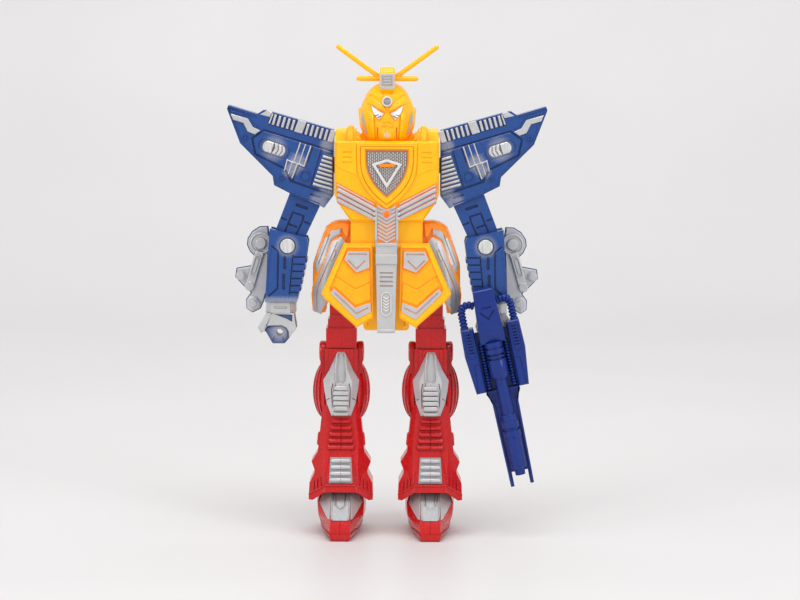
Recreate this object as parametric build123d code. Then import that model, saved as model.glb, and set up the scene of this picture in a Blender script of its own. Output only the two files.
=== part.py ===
"""Toy robot action figure with swivelling head, arms and legs, holding a toy blaster.

Units are millimetres. The figure stands on Z = 0 and faces -Y, with its left side at +X.
Every piece is modelled about the body's own mid-plane, and is moved back by BODY_Y when it is
written, so that the origin lies under the middle of the whole figure's bounding box.
Left and right limbs mirror each other across X = 0.
"""

from build123d import *
import os

# ---- driving dimensions -------------------------------------------------------------------
BODY_Y = 5.0          # body mid-plane in the written frame
WALL = 2.0            # shell wall
RUN_GAP = 0.06        # radial clearance of a turning fit
FREE_GAP = 0.3        # gap between faces that slide past each other

CHEST_HALF_W = 26.0
CHEST_TOP = 198.5
CHEST_BOTTOM = 158.5
CHEST_Y = 14.0        # half depth
WAIST_HALF_W = 18.0
WAIST_BOTTOM = 144.0
WAIST_Y = 11.0
SHIELD_Y = 15.5       # front of the raised chest shield

HEAD_R = 14.1
HEAD_MID_Z = 213.0
HEAD_TOP_Z = 227.5
HEAD_BOTTOM_Z = CHEST_TOP + FREE_GAP
NECK_R = 5.0

SHOULDER_Z = 186.0
AXLE_R = 4.0
WING_INNER_X = 26.7
WING_Y = 7.5          # half depth
ARM_Y = 5.0           # half depth of the upper arm blade

ELBOW_X, ELBOW_Z = 49.5, 145.8
ELBOW_PIN_R = 2.5
ELBOW_CAP_R = 4.0
TONGUE_R = 7.2
FOREARM_Y = 9.5
SLOT_FLOOR_Z = 138.2
WRIST_X, WRIST_Z = 53.1, 117.6
WRIST_PEG_R = 3.5

BORE_X, BORE_Z = 53.7, 101.9   # the fist's accessory bore
BORE_R = 1.8
FIST_Y = 7.0

GUN_TILT = 11.2       # degrees that the muzzle leans outwards
GUN_BACK_Y = -11.0
GUN_PLATE_T = 1.5
BARREL_Y = -17.2

LEG_X = 22.5
HIP_Z = 128.0
HIP_AXLE_R = 3.0
HIP_COLLAR_R = 4.4
THIGH_HALF_W = 6.8
THIGH_Y = 7.0
SKIRT_CLEARANCE = 0.9     # shaved off the outside of the thigh where it swings inside the side armour
KNEE_Z = 91.8
KNEE_PIN_R = 2.0
KNEE_EAR_R = 5.4


# ---- helpers ------------------------------------------------------------------------------
def box(x, y, z):
    """Box between (low, high) pairs."""
    size = [b - a for a, b in (x, y, z)]
    centre = [(a + b) / 2 for a, b in (x, y, z)]
    return Pos(*centre) * Box(*size)


def rod(start, end, radius, end_radius=None):
    """Round rod between two points, which may taper."""
    start, end = Vector(*start), Vector(*end)
    along = end - start
    grounded = (Align.CENTER, Align.CENTER, Align.MIN)
    if end_radius is None:
        solid = Cylinder(radius, along.length, align=grounded)
    else:
        solid = Cone(radius, end_radius, along.length, align=grounded)
    return Plane(origin=start, z_dir=along) * solid


def pin_y(x, z, radius, front, back):
    return rod((x, front, z), (x, back, z), radius)


def pin_x(y, z, radius, low, high):
    return rod((low, y, z), (high, y, z), radius)


def prism_y(outline, front, back):
    """Solid whose outline is drawn in XZ, from y = front to y = back."""
    wire = Polyline(*[(x, back, z) for x, z in outline], close=True)
    return extrude(make_face(wire), amount=back - front, dir=(0, -1, 0))


def prism_z(outline, low, high):
    """Solid whose outline is drawn in XY, from z = low to z = high."""
    wire = Polyline(*[(x, y, low) for x, y in outline], close=True)
    return extrude(make_face(wire), amount=high - low, dir=(0, 0, 1))


def stack(*sections):
    """Straight-sided solid through (z, XY outline) sections with equal point counts."""
    faces = [
        make_face(Polyline(*[(x, y, z) for x, y in outline], close=True))
        for z, outline in sections
    ]
    return loft(faces, ruled=True)


def both_sides(half):
    """Closed outline symmetric about x = 0 from its x >= 0 points, top to bottom."""
    return half + [(-x, z) for x, z in reversed(half) if x > 0]


def octagon(half_w, front, back, cut, x=0.0):
    """Rectangle in XY with its corners cut off."""
    return [
        (x - half_w + cut, front), (x + half_w - cut, front),
        (x + half_w, front + cut), (x + half_w, back - cut),
        (x + half_w - cut, back), (x - half_w + cut, back),
        (x - half_w, back - cut), (x - half_w, front + cut),
    ]


def group(solids):
    """Several solids kept as one node."""
    return Compound([piece for solid in solids for piece in solid.solids()])


def front_half(solid):
    return solid & box((-300, 300), (-100, 0), (-10, 300))


def back_half(solid):
    return solid & box((-300, 300), (0, 100), (-10, 300))


def left_of(solid, x):
    return solid & box((x, 300), (-100, 100), (-10, 300))


def right_of(solid, x):
    return solid & box((-300, x), (-100, 100), (-10, 300))


# ---- fasteners ----------------------------------------------------------------------------
SCREW_SHANK_R = 1.0
SCREW_HEAD_R = 2.2
HEAD_POCKET_R = 2.4
BOSS_R = 2.9
HEAD_T = 1.6


def screw_y(x, z, back, tip):
    """Self-tapping screw, sunk one head's height into a back face at y = back."""
    head_y = back - HEAD_T
    slot = box((x - 1.5, x + 1.5), (head_y - 0.6, head_y), (z - 0.3, z + 0.3))
    head = pin_y(x, z, SCREW_HEAD_R, head_y - HEAD_T, head_y)
    return head + pin_y(x, z, SCREW_SHANK_R, tip, head_y) - slot


def screw_hole_y(x, z, back, tip):
    """Space for screw_y and its counterbore."""
    pocket = pin_y(x, z, HEAD_POCKET_R, back - 2 * HEAD_T, back + 1)
    return pocket + pin_y(x, z, SCREW_SHANK_R, tip - 1, back)


def screwed(front, back, places, face_y, front_wall_y, tip=-4.0):
    """Adds a boss and a hole to both shells at each (x, z), and returns them with the screws."""
    screws = []
    for x, z in places:
        front += pin_y(x, z, BOSS_R, -front_wall_y, 0)
        back += pin_y(x, z, BOSS_R, 0, face_y - WALL / 2)
        hole = screw_hole_y(x, z, face_y, tip)
        front -= hole
        back -= hole
        screws.append(screw_y(x, z, face_y, tip))
    return front, back, group(screws)


# ---- torso --------------------------------------------------------------------------------
TORSO_SCREWS = [(-20.0, 174.0), (20.0, 174.0)]
BATTERY_DOOR = (-11.0, 11.0, 161.0, 180.0)
DOOR_GAP = 0.2
DOOR_SCREW_Z = 163.5
LED_R = 1.5
LED_Z = 162.5
NECK_WALL_Z = CHEST_TOP - WALL
SWITCH_Z = 151.0
HOLDER_X = 9.0


def torso_block(inset):
    """Chest and waist as one solid, shrunk by inset."""
    chest = both_sides([
        (0, CHEST_TOP - inset), (CHEST_HALF_W - inset, CHEST_TOP - inset),
        (CHEST_HALF_W - inset, 172 + inset / 2), (24.5 - inset, 168 + inset / 2),
        (WAIST_HALF_W - inset, CHEST_BOTTOM),
    ])
    waist_w, waist_y = WAIST_HALF_W - inset, WAIST_Y - inset
    chest_y = CHEST_Y - inset
    waist = box((-waist_w, waist_w), (-waist_y, waist_y), (WAIST_BOTTOM + inset, CHEST_BOTTOM + 2))
    return prism_y(chest, -chest_y, chest_y) + waist


def chest_shield():
    """Raised shield on the chest: straight top, curved sides that meet in a point."""
    half_w, top, shoulder, tip = 15.0, 196.6, 184.0, 165.3
    edges = [
        Line((-half_w, 0, shoulder), (-half_w, 0, top)),
        Line((-half_w, 0, top), (half_w, 0, top)),
        Line((half_w, 0, top), (half_w, 0, shoulder)),
        ThreePointArc((half_w, 0, shoulder), (10.2, 0, 172.6), (0, 0, tip)),
        ThreePointArc((0, 0, tip), (-10.2, 0, 172.6), (-half_w, 0, shoulder)),
    ]
    face = make_face(Wire(edges))
    return Pos(0, -CHEST_Y + 0.5, 0) * extrude(face, amount=SHIELD_Y - CHEST_Y + 0.5, dir=(0, -1, 0))


def shoulder_blocks():
    """Raised blocks and a rounded rib on top of each shoulder."""
    blocks = None
    for side in (-1, 1):
        low, high = sorted((side * 15.2, side * 25.6))
        block = box((low, high), (-7, 10), (CHEST_TOP, 204.5))
        rib_x = side * 18.2
        rib = box((rib_x - 1.7, rib_x + 1.7), (-11, 11), (CHEST_TOP, 204.4))
        rib += pin_y(rib_x, 204.4, 1.7, -11, 11)
        blocks = block + rib if blocks is None else blocks + block + rib
    return blocks


def torso():
    neck_hole = rod((0, 0, NECK_WALL_Z - 1), (0, 0, CHEST_TOP + 1), NECK_R + RUN_GAP)
    axle_hole = pin_x(0, SHOULDER_Z, AXLE_R + RUN_GAP, -CHEST_HALF_W - 1, CHEST_HALF_W + 1)
    shell = torso_block(0) - torso_block(WALL) + shoulder_blocks() - neck_hole - axle_hole
    front = front_half(shell) + chest_shield()
    front -= torso_block(WALL) & box((-30, 30), (-30, 0), (100, 250))
    front -= pin_y(0, LED_Z, LED_R, -20, 0)
    for side in (-1, 1):
        front += pin_y(side * 6.5, 160, 1.4, -CHEST_Y + 1, -6)
    back = back_half(shell)
    x0, x1, z0, z1 = BATTERY_DOOR
    back -= box((x0 - DOOR_GAP, x1 + DOOR_GAP), (CHEST_Y - 2.5, 20), (z0 - DOOR_GAP, z1 + DOOR_GAP))
    post = box((-3, 3), (8, CHEST_Y - WALL), (WAIST_BOTTOM + 12, 166))
    back += post - box((-4, 4), (WAIST_Y - 0.5, 20), (z0 - DOOR_GAP, 190))
    back += box((-HOLDER_X - 1.2, -HOLDER_X), (1, CHEST_Y - WALL), (165, 184))
    back += box((HOLDER_X, HOLDER_X + 1.2), (1, CHEST_Y - WALL), (165, 184))
    back += box((-HOLDER_X, HOLDER_X), (1, CHEST_Y - WALL), (165, 166.1))
    back -= pin_y(0, DOOR_SCREW_Z, 0.8, 6, 16)
    switch_slot = box((-3.5, 3.5), (WAIST_Y - 3, WAIST_Y + 1), (SWITCH_Z - 1.2, SWITCH_Z + 1.2))
    back -= switch_slot
    front, back, screws = screwed(front, back, TORSO_SCREWS, CHEST_Y, CHEST_Y - WALL / 2)
    door = box((x0, x1), (CHEST_Y - WALL, CHEST_Y), (z0, z1))
    pocket = pin_y(0, DOOR_SCREW_Z, HEAD_POCKET_R, CHEST_Y - 1.2, CHEST_Y + 1)
    door -= pocket + pin_y(0, DOOR_SCREW_Z, 1.0, CHEST_Y - 3, CHEST_Y)
    door_screw = pin_y(0, DOOR_SCREW_Z, 1.9, CHEST_Y - 1.2, CHEST_Y - 0.2)
    door_screw += pin_y(0, DOOR_SCREW_Z, 0.8, 8.5, CHEST_Y - 1.2)
    knob = box((-2.6, -0.6), (WAIST_Y - WALL - 0.6, WAIST_Y + 1.2), (SWITCH_Z - 1, SWITCH_Z + 1))
    knob += box((-3.4, 0.2), (WAIST_Y - WALL - 1.8, WAIST_Y - WALL - 0.4), (SWITCH_Z - 1.8, SWITCH_Z + 1.8))
    return {
        "torso_front_shell": front,
        "torso_back_shell": back,
        "torso_screws": screws,
        "battery_door": door,
        "battery_door_screw": door_screw,
        "power_switch_knob": knob,
    }


def electronics():
    """Chest lamp, its board, and three button cells between spring contacts."""
    cell_r, cell_t, cell_y, cell_z = 5.8, 5.4, 4.6, 172.0
    lamp = pin_y(0, LED_Z, LED_R, -CHEST_Y - 0.2, -6)
    lamp += Pos(0, -CHEST_Y - 0.2, LED_Z) * Sphere(LED_R)
    board = box((-9, 9), (-6, -4.8), (156, 170))
    cells = group([
        pin_x(cell_y, cell_z, cell_r, x, x + cell_t - 0.2)
        for x in (-1.5 * cell_t, -0.5 * cell_t, 0.5 * cell_t)
    ])
    contacts = group([
        box((x, x + 0.6), (1.5, 8.5), (cell_z - 4, cell_z + 4)) for x in (-HOLDER_X, HOLDER_X - 0.6)
    ])
    return {
        "chest_lamp": lamp,
        "lamp_board": board,
        "button_cells": cells,
        "battery_contacts": contacts,
    }


# ---- head ---------------------------------------------------------------------------------
def head_volume(inset):
    """Helmet as a body of revolution, flat underneath."""
    r, top, bottom = HEAD_R - inset, HEAD_TOP_Z - inset, HEAD_BOTTOM_Z + inset
    edges = [
        ThreePointArc((0, 0, top), (r * 0.735, 0, HEAD_MID_Z + (top - HEAD_MID_Z) * 0.68), (r, 0, HEAD_MID_Z)),
        ThreePointArc((r, 0, HEAD_MID_Z), (r * 0.93, 0, 205.5), (r * 0.7, 0, bottom)),
        Line((r * 0.7, 0, bottom), (0, 0, bottom)),
        Line((0, 0, bottom), (0, 0, top)),
    ]
    return revolve(make_face(Wire(edges)), Axis.Z)


LAMP_R = 2.5
LAMP_Z = 218.0
CREST_BOTTOM, CREST_TOP = 224.0, 235.0


def head():
    shell = head_volume(0) - head_volume(WALL)
    shell -= rod((0, 0, HEAD_BOTTOM_Z - 1), (0, 0, HEAD_BOTTOM_Z + 3), NECK_R)
    lamp = pin_y(0, LAMP_Z, LAMP_R, -15.2, -11)
    neck = rod((0, 0, 190), (0, 0, 206), NECK_R)
    neck += rod((0, 0, NECK_WALL_Z - FREE_GAP - 2), (0, 0, NECK_WALL_Z - FREE_GAP), 7.5)
    return {
        "head_front_shell": front_half(shell) - lamp,
        "head_back_shell": back_half(shell),
        "forehead_lamp": lamp,
        "neck_post": neck,
    }


def antenna_crest():
    """Crest box seated on the helmet, with two long and two short antenna rods."""
    crest = box((-4, 4), (-12.2, 1.5), (CREST_BOTTOM, CREST_TOP - 2))
    crest += box((-3.2, 3.2), (-9.5, 1.5), (CREST_TOP - 2, CREST_TOP))
    for side in (-1, 1):
        crest += rod((side * 3, -4.5, 229.4), (side * 25.4, -4.5, 245.4), 1.35, 1.05)
        crest += rod((side * 3, -4.5, 229.0), (side * 15.4, -4.5, 229.0), 1.25, 1.15)
    return {"antenna_crest": crest - head_volume(0)}


# ---- waist armour -------------------------------------------------------------------------
SKIRT_TOP = 147.6
SKIRT_T = 2.2
FRONT_TILT = 7.0      # degrees that the front panels lean forwards at the hem


def front_skirt():
    """Two five-sided front panels, the centre belt plate and the lip that joins them."""
    panel = [(7.0, SKIRT_TOP), (21.2, SKIRT_TOP), (32.4, 122.4), (30.4, 119.4), (14.6, 105.5), (6.6, 112.0)]
    flat = prism_y(panel, -SKIRT_T, 0)
    flat += mirror(flat, about=Plane.YZ)
    lean = Pos(0, -WAIST_Y - 0.6, SKIRT_TOP) * Rotation(-FRONT_TILT, 0, 0) * Pos(0, 0, -SKIRT_TOP)
    panels = lean * flat
    belt = lean * prism_y(both_sides([(0, SKIRT_TOP), (5.3, SKIRT_TOP), (4.3, 102.8)]), -4.2, -0.6)
    belt += box((-5.3, 5.3), (-WAIST_Y - 4.7, -WAIST_Y), (SKIRT_TOP - 1.5, 158.0))
    lip = box((-21.2, 21.2), (-WAIST_Y - 2.8, -WAIST_Y), (145.6, SKIRT_TOP))
    return panels + belt + lip


def side_skirt():
    """Left side armour: a bent plate that hooks over the waist and flares outwards."""
    rings = [
        (157.0, 18.4, 28.0, 7.0, 2.0),
        (155.0, 19.2, 30.6, 8.0, 3.0),
        (137.0, 28.8, 36.8, 9.4, 4.5),
        (124.0, 31.8, 37.0, 9.4, 4.5),
        (112.2, 32.6, 36.2, 6.5, 3.0),
    ]

    def solid(shift):
        return stack(*[
            (z, [(inner - shift, -half_y), (outer - shift, cut - half_y),
                 (outer - shift, half_y - cut), (inner - shift, half_y)])
            for z, inner, outer, half_y, cut in rings
        ])

    hook = box((WAIST_HALF_W, 30.4), (-4, 4), (147.5, 150.5))
    return solid(0) - solid(2.4) + hook


def back_skirt():
    """Rear armour: one wide six-sided plate and its lip."""
    plate = both_sides([(0, SKIRT_TOP), (20.5, SKIRT_TOP), (26.5, 122.0), (20.0, 112.0), (0, 108.0)])
    lean = Pos(0, WAIST_Y + 0.6, SKIRT_TOP) * Rotation(5, 0, 0) * Pos(0, 0, -SKIRT_TOP)
    lip = box((-20.5, 20.5), (WAIST_Y, WAIST_Y + 2.6), (145.4, SKIRT_TOP))
    return lean * prism_y(plate, 0, SKIRT_T) + lip


PELVIS_HALF_W = 11.4


def pelvis():
    """Crotch block that carries the hip axle."""
    block = prism_y(
        both_sides([(0, WAIST_BOTTOM), (16.5, WAIST_BOTTOM), (PELVIS_HALF_W, 138.0),
                    (PELVIS_HALF_W, 105.2), (10.0, 103.4)]),
        -8.5, 9.0,
    )
    axle = pin_x(0, HIP_Z, HIP_AXLE_R, -LEG_X - 4.6, LEG_X + 4.6)
    for side in (-1, 1):
        low, high = sorted((side * 24.0, side * 25.5))
        axle += pin_x(0, HIP_Z, HIP_COLLAR_R, low, high)
    return {"pelvis_block": block - axle, "hip_axle": axle}


# ---- arms (left, at +X) -------------------------------------------------------------------
WING = [
    (WING_INNER_X, 203.7), (57.0, 212.3), (61.5, 213.4), (64.7, 211.4), (79.0, 215.7),
    (79.7, 213.8), (73.2, 196.8), (57.0, 180.6), (56.3, 176.0), (48.4, 172.0),
    (34.1, 166.2), (31.3, 164.8), (WING_INNER_X, 171.0),
]
WING_HOLLOW = [(29.0, 201.8), (57.5, 210.0), (75.5, 212.2), (71.0, 197.6), (55.0, 181.6), (47.6, 174.0), (29.0, 167.9)]
UPPER_ARM = [(48.5, 175.0), (33.6, 169.0), (33.6, 165.4), (41.3, 149.0), (49.5, 143.8), (56.6, 151.0), (48.5, 172.1)]
ARM_SCREWS = [(44.0, 198.0), (62.0, 200.0)]
FOREARM = [
    (58.4, 154.4), (39.9, 150.0), (39.2, 147.6), (41.2, 133.7),
    (44.8, WRIST_Z), (60.85, WRIST_Z), (60.0, 130.0),
]
FOREARM_HOLLOW = [(57.0, 136.2), (43.0, 136.2), (46.4, WRIST_Z + 2), (58.8, WRIST_Z + 2)]
FOREARM_SCREWS = [(46.8, 130.0)]


def upper_arm():
    """Shoulder wing and arm blade, split into a front and a back shell."""
    wing = prism_y(WING, -WING_Y, WING_Y) - prism_y(WING_HOLLOW, -WING_Y + WALL, WING_Y - WALL)
    blade = prism_y(UPPER_ARM, -ARM_Y, ARM_Y) + pin_y(ELBOW_X, ELBOW_Z, TONGUE_R, -ARM_Y, ARM_Y)
    blade -= pin_y(ELBOW_X, ELBOW_Z, ELBOW_PIN_R + RUN_GAP, -10, 10)
    seat = box((WING_INNER_X, 36), (-WING_Y + 1, WING_Y - 1), (179, 193))
    axle = pin_x(0, SHOULDER_Z, AXLE_R, CHEST_HALF_W - WALL - 3, 35)
    axle += pin_x(0, SHOULDER_Z, 6.5, CHEST_HALF_W - WALL - 3, CHEST_HALF_W - WALL - FREE_GAP)
    whole = wing + seat + blade - axle
    front, back, screws = screwed(
        front_half(whole), back_half(whole), ARM_SCREWS, WING_Y, WING_Y - WALL / 2, tip=-3.5
    )
    return {
        "shoulder_front": front,
        "shoulder_back": back,
        "shoulder_axle": axle,
        "shoulder_screws": screws,
    }


def forearm():
    """Two forearm shells that form a fork round the elbow, with the elbow pin and screw."""
    whole = prism_y(FOREARM, -FOREARM_Y, FOREARM_Y)
    fork = ARM_Y + FREE_GAP
    whole -= box((30, 70), (-fork, fork), (SLOT_FLOOR_Z, 160))
    whole -= prism_y(FOREARM_HOLLOW, -FOREARM_Y + WALL, FOREARM_Y - WALL)
    peg_seat = rod((WRIST_X, 0, WRIST_Z - 1), (WRIST_X, 0, WRIST_Z + 3), WRIST_PEG_R + RUN_GAP)
    pin = pin_y(ELBOW_X, ELBOW_Z, ELBOW_PIN_R, -FOREARM_Y + 1, FOREARM_Y - 1)
    pin += pin_y(ELBOW_X, ELBOW_Z, ELBOW_CAP_R, -FOREARM_Y - 0.4, -FOREARM_Y + 1.5)
    pin += pin_y(ELBOW_X, ELBOW_Z, ELBOW_CAP_R, FOREARM_Y - 1.5, FOREARM_Y + 0.2)
    whole = whole - peg_seat - pin
    front, back, screws = screwed(
        front_half(whole), back_half(whole), FOREARM_SCREWS, FOREARM_Y, FOREARM_Y - WALL / 2
    )
    return {"forearm_front": front, "forearm_back": back, "elbow_pin": pin, "forearm_screw": screws}


BRACKET_FRONT, BRACKET_BACK = 5.4, 8.8


def side_bracket():
    """Silver mechanism plate on the outer side of the forearm."""
    plate = prism_y(
        [(57.0, 152.0), (62.0, 152.0), (67.0, 142.0), (67.2, 135.2), (76.5, 133.6), (77.2, 128.2),
         (72.0, 123.2), (68.6, 120.6), (71.6, 117.4), (71.4, 112.2), (68.2, 110.2), (64.0, 112.4),
         (62.6, 119.6), (59.0, 119.6)],
        BRACKET_FRONT, BRACKET_BACK,
    )
    plate += pin_y(63.6, 146.8, 7.4, BRACKET_FRONT, BRACKET_BACK)
    return {"side_bracket": plate - prism_y(FOREARM, 0, 20)}


FIST = [
    (60.4, 111.8), (64.8, 104.4), (62.7, 101.2), (61.4, 102.4), (57.3, 96.0),
    (50.9, 96.0), (48.6, 99.0), (44.6, 103.7), (46.4, 111.8),
]


def fist():
    """Closed hand with its wrist cuff, wrist peg and a bore for an accessory's grip."""
    cuff = octagon(7.7, -7.5, 7.5, 3.0, x=WRIST_X)
    hand = prism_z(cuff, 111.8, WRIST_Z - FREE_GAP / 2)
    knuckles = rod((WRIST_X, 0, 90), (WRIST_X, 0, 112), 12.6)
    hand += prism_y(FIST, -FIST_Y, FIST_Y) & knuckles
    hand += rod((WRIST_X, 0, 116), (WRIST_X, 0, 122), WRIST_PEG_R)
    hand += rod((WRIST_X, 0, WRIST_Z + WALL + FREE_GAP), (WRIST_X, 0, 122), 4.6)
    return {"fist": hand - pin_y(BORE_X, BORE_Z, BORE_R, -10, 10)}


# ---- blaster, drawn upright about the fist's bore and then leant outwards -----------------
def blaster():
    plate = both_sides([(0, 3), (8.6, 3), (8.6, -27.5), (6.6, -34.4), (5.9, -77.2), (4.0, -77.2), (4.0, -69.4)])
    frame = prism_y(plate, GUN_BACK_Y - GUN_PLATE_T, GUN_BACK_Y)
    block = prism_y(both_sides([(0, 21.8), (5.1, 21.8), (6.3, 2.0), (6.3, -3.8)]), GUN_BACK_Y - 10.0, GUN_BACK_Y)
    pod = prism_y([(7.7, 5.9), (14.4, 5.9), (15.0, -8.0), (12.9, -27.5), (8.6, -27.5)], GUN_BACK_Y - 6.5, GUN_BACK_Y)
    frame += block + pod + mirror(pod, about=Plane.YZ)
    frame += pin_y(0, 0, 3.8, GUN_BACK_Y, -FIST_Y - FREE_GAP)
    grip = pin_y(0, 0, BORE_R - RUN_GAP, GUN_BACK_Y, 5.0)
    steps = [
        (-3.8, -8.6, 4.6), (-8.6, -12.6, 3.9), (-12.6, -21.0, 4.5), (-21.0, -39.9, 2.9),
        (-39.9, -43.5, 3.8), (-43.5, -47.0, 4.2), (-47.0, -48.2, 3.5), (-48.2, -51.5, 4.4),
        (-51.5, -68.0, 4.2), (-68.0, -71.2, 2.5),
    ]
    barrel = None
    for top, bottom, radius in steps:
        step = rod((0, BARREL_Y, bottom), (0, BARREL_Y, top), radius)
        barrel = step if barrel is None else barrel + step
    tubes = []
    for side in (-1, 1):
        path = FilletPolyline((side * 6.0, GUN_BACK_Y - 3.5, 16.0), (side * 12.3, GUN_BACK_Y - 3.5, 15.0),
                              (side * 12.5, GUN_BACK_Y - 3.5, 6.0), radius=4.0)
        tubes.append(sweep(path.location_at(0) * Circle(1.3), path=path) - frame)
        tubes.append(rod((side * 6.3, GUN_BACK_Y - 3.3, -24.0), (side * 6.3, GUN_BACK_Y - 3.3, -4.0), 1.2) - frame)
    solids = {
        "blaster_frame": frame + grip,
        "blaster_barrel": barrel,
        "blaster_hoses": group(tubes),
    }
    place = Pos(BORE_X, 0, BORE_Z) * Rotation(0, -GUN_TILT, 0)
    return {name: place * solid for name, solid in solids.items()}


# ---- legs (left, at +X) -------------------------------------------------------------------
def thigh():
    """Two thigh shells round the hip axle, ending in the knee tongue."""
    low, high = LEG_X - THIGH_HALF_W, LEG_X + THIGH_HALF_W
    whole = box((low, high), (-THIGH_Y, THIGH_Y), (100, 132)) + pin_x(0, 132, THIGH_Y, low, high)
    whole += box((low - 1, high + 1), (-THIGH_Y - 1, THIGH_Y + 1), (97.6, 104.5))
    whole -= box((high - SKIRT_CLEARANCE, high + 1), (-THIGH_Y, THIGH_Y), (109, 140))
    whole -= box((low + WALL, high - WALL), (-THIGH_Y + WALL, THIGH_Y - WALL), (104, 121))
    tongue_w = 4.0
    whole += box((LEG_X - tongue_w, LEG_X + tongue_w), (-5, 5), (KNEE_Z, 98))
    whole += pin_x(0, KNEE_Z, 5.0, LEG_X - tongue_w, LEG_X + tongue_w)
    whole -= pin_x(0, KNEE_Z, KNEE_PIN_R + RUN_GAP, 0, 50)
    whole -= pin_x(0, HIP_Z, HIP_AXLE_R + RUN_GAP, 0, LEG_X + 4.8)
    whole -= pin_x(0, HIP_Z, HIP_COLLAR_R + RUN_GAP, 23.7, 25.8)
    return {"thigh_outer": left_of(whole, LEG_X), "thigh_inner": right_of(whole, LEG_X)}


SHIN_TOP = 94.2
STEM_X, STEM_Y = 5.0, 6.0     # half width and depth of the foot's stem
ANKLE_Z = 43.5
GUARD_HEM_Z = 18.5


def shin_volume(inset):
    sections = [
        (86.0, 6.4, -9.6, 7.0), (57.5, 9.6, -9.5, 9.5), (ANKLE_Z, 11.2, -11.0, 11.5),
    ]
    upper = stack(*[
        (z, octagon(w - inset, front + inset, back - inset, 2.5, x=LEG_X)) for z, w, front, back in sections
    ])
    lower = stack(
        (ANKLE_Z, octagon(11.2 - inset, -11.0 + inset, 11.5 - inset, 3.0, x=LEG_X)),
        (GUARD_HEM_Z, octagon(15.4 - inset, -18.5 + inset, 15.5 - inset, 7.0, x=LEG_X)),
    )
    return upper + lower


def lower_leg():
    """Two shin shells with knee ears, knee guard, calf fins and ankle guard."""
    whole = shin_volume(0)
    neck = box((LEG_X - 6.2, LEG_X + 6.2), (-9.6, -6.2), (85, SHIN_TOP))
    guard = prism_y(
        both_sides([(0, 92.8), (1.9, 92.8), (5.95, 83.7), (9.0, 77.8), (7.2, 67.0), (4.8, 60.2)]), -14.2, -8.0
    )
    fins = None
    for side in (-1, 1):
        fin = Pos(LEG_X + side * 7.0, 1.0, 71.8) * scale(Sphere(1), by=(7.4, 10.5, 15.0))
        ear_in, ear_out = sorted((LEG_X + side * 8.1, LEG_X + side * 11.0))
        ear = pin_x(0, KNEE_Z, KNEE_EAR_R, ear_in, ear_out)
        ear += box((ear_in, ear_out), (-KNEE_EAR_R, KNEE_EAR_R), (78, KNEE_Z))
        fins = fin + ear if fins is None else fins + fin + ear
    whole += neck + Pos(LEG_X, 0, 0) * guard + fins
    open_back = box((LEG_X - 8.0, LEG_X + 8.0), (-6.2, 20), (81, 100))
    hollow = shin_volume(WALL) & box((0, 60), (-30, 30), (GUARD_HEM_Z - 5, 80))
    foot_room = stack(
        (GUARD_HEM_Z - 1, octagon(13.6, -16.7, 13.7, 6.0, x=LEG_X)),
        (28.0, octagon(11.8, -13.8, 12.2, 4.0, x=LEG_X)),
    )
    pin = pin_x(0, KNEE_Z, KNEE_PIN_R, LEG_X - 11.0, LEG_X + 11.0)
    whole = whole - open_back - hollow - foot_room - pin
    core = shin_volume(WALL / 2)
    stem = box((LEG_X - STEM_X, LEG_X + STEM_X), (-STEM_Y, STEM_Y), (10, 60))
    whole += (core & box((0, 60), (-30, 30), (28.5, 32.5))) - stem
    whole -= pin_y(LEG_X, GUARD_HEM_Z - 11.1, 14.6, -30, -10)
    bosses = [(0.0, 66.0), (0.0, 48.0)]
    screws = []
    for y, z in bosses:
        whole += core & pin_x(y, z, BOSS_R, LEG_X - 12, LEG_X + 12)
        whole -= pin_x(y, z, SCREW_SHANK_R, LEG_X - 8.0, LEG_X + 5.0)
        whole -= pin_x(y, z, HEAD_POCKET_R, LEG_X - 20, LEG_X - 5.4)
        screw = pin_x(y, z, SCREW_SHANK_R, LEG_X - 7.0, LEG_X + 5.0)
        screws.append(screw + pin_x(y, z, SCREW_HEAD_R, LEG_X - 7.0, LEG_X - 5.4))
    return {
        "shin_outer": left_of(whole, LEG_X),
        "shin_inner": right_of(whole, LEG_X),
        "knee_pin": pin,
        "shin_screws": group(screws),
    }


def foot():
    """Boat-shaped foot: narrow flat sole, walls that flare upwards, plugged into the ankle guard."""
    def plan(toe_w, toe, mid_w, mid, half_w, heel):
        right = [(toe_w, toe), (mid_w, mid), (half_w, 4.0), (half_w, heel - 5), (half_w - 4, heel)]
        return [(LEG_X + x, y) for x, y in right] + [(LEG_X - x, y) for x, y in reversed(right)]
    sole = stack((0, plan(5.2, -29.0, 7.8, -10.0, 9.0, 19.0)), (4.2, plan(5.3, -29.0, 9.3, -11.0, 10.6, 19.0)))
    upper = stack(
        (4.2, plan(5.0, -28.4, 8.9, -11.0, 10.2, 18.4)), (10.0, plan(4.9, -25.0, 10.9, -10.0, 11.8, 17.0)),
        (16.0, plan(4.7, -18.5, 11.5, -7.0, 12.2, 14.5)), (21.0, plan(4.2, -12.5, 9.6, -5.5, 10.4, 12.0)),
    )
    stem = box((LEG_X - STEM_X, LEG_X + STEM_X), (-STEM_Y, STEM_Y), (20, 34))
    return {"foot": sole + upper + stem}


# ---- assembly -----------------------------------------------------------------------------
def named_sides(nodes):
    """Left nodes and their mirror images."""
    out = {}
    for name, solid in nodes.items():
        out[f"left_{name}"] = solid
        out[f"right_{name}"] = mirror(solid, about=Plane.YZ)
    return out


def build():
    nodes = {}
    nodes.update(torso())
    nodes.update(electronics())
    nodes.update(head())
    nodes.update(antenna_crest())
    nodes["front_skirt"] = front_skirt()
    nodes["back_skirt"] = back_skirt()
    nodes.update(pelvis())
    nodes.update(named_sides({"side_skirt": side_skirt()}))
    for limb in (upper_arm, forearm, side_bracket, fist, thigh, lower_leg, foot):
        nodes.update(named_sides(limb()))
    nodes.update(blaster())
    return nodes


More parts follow.
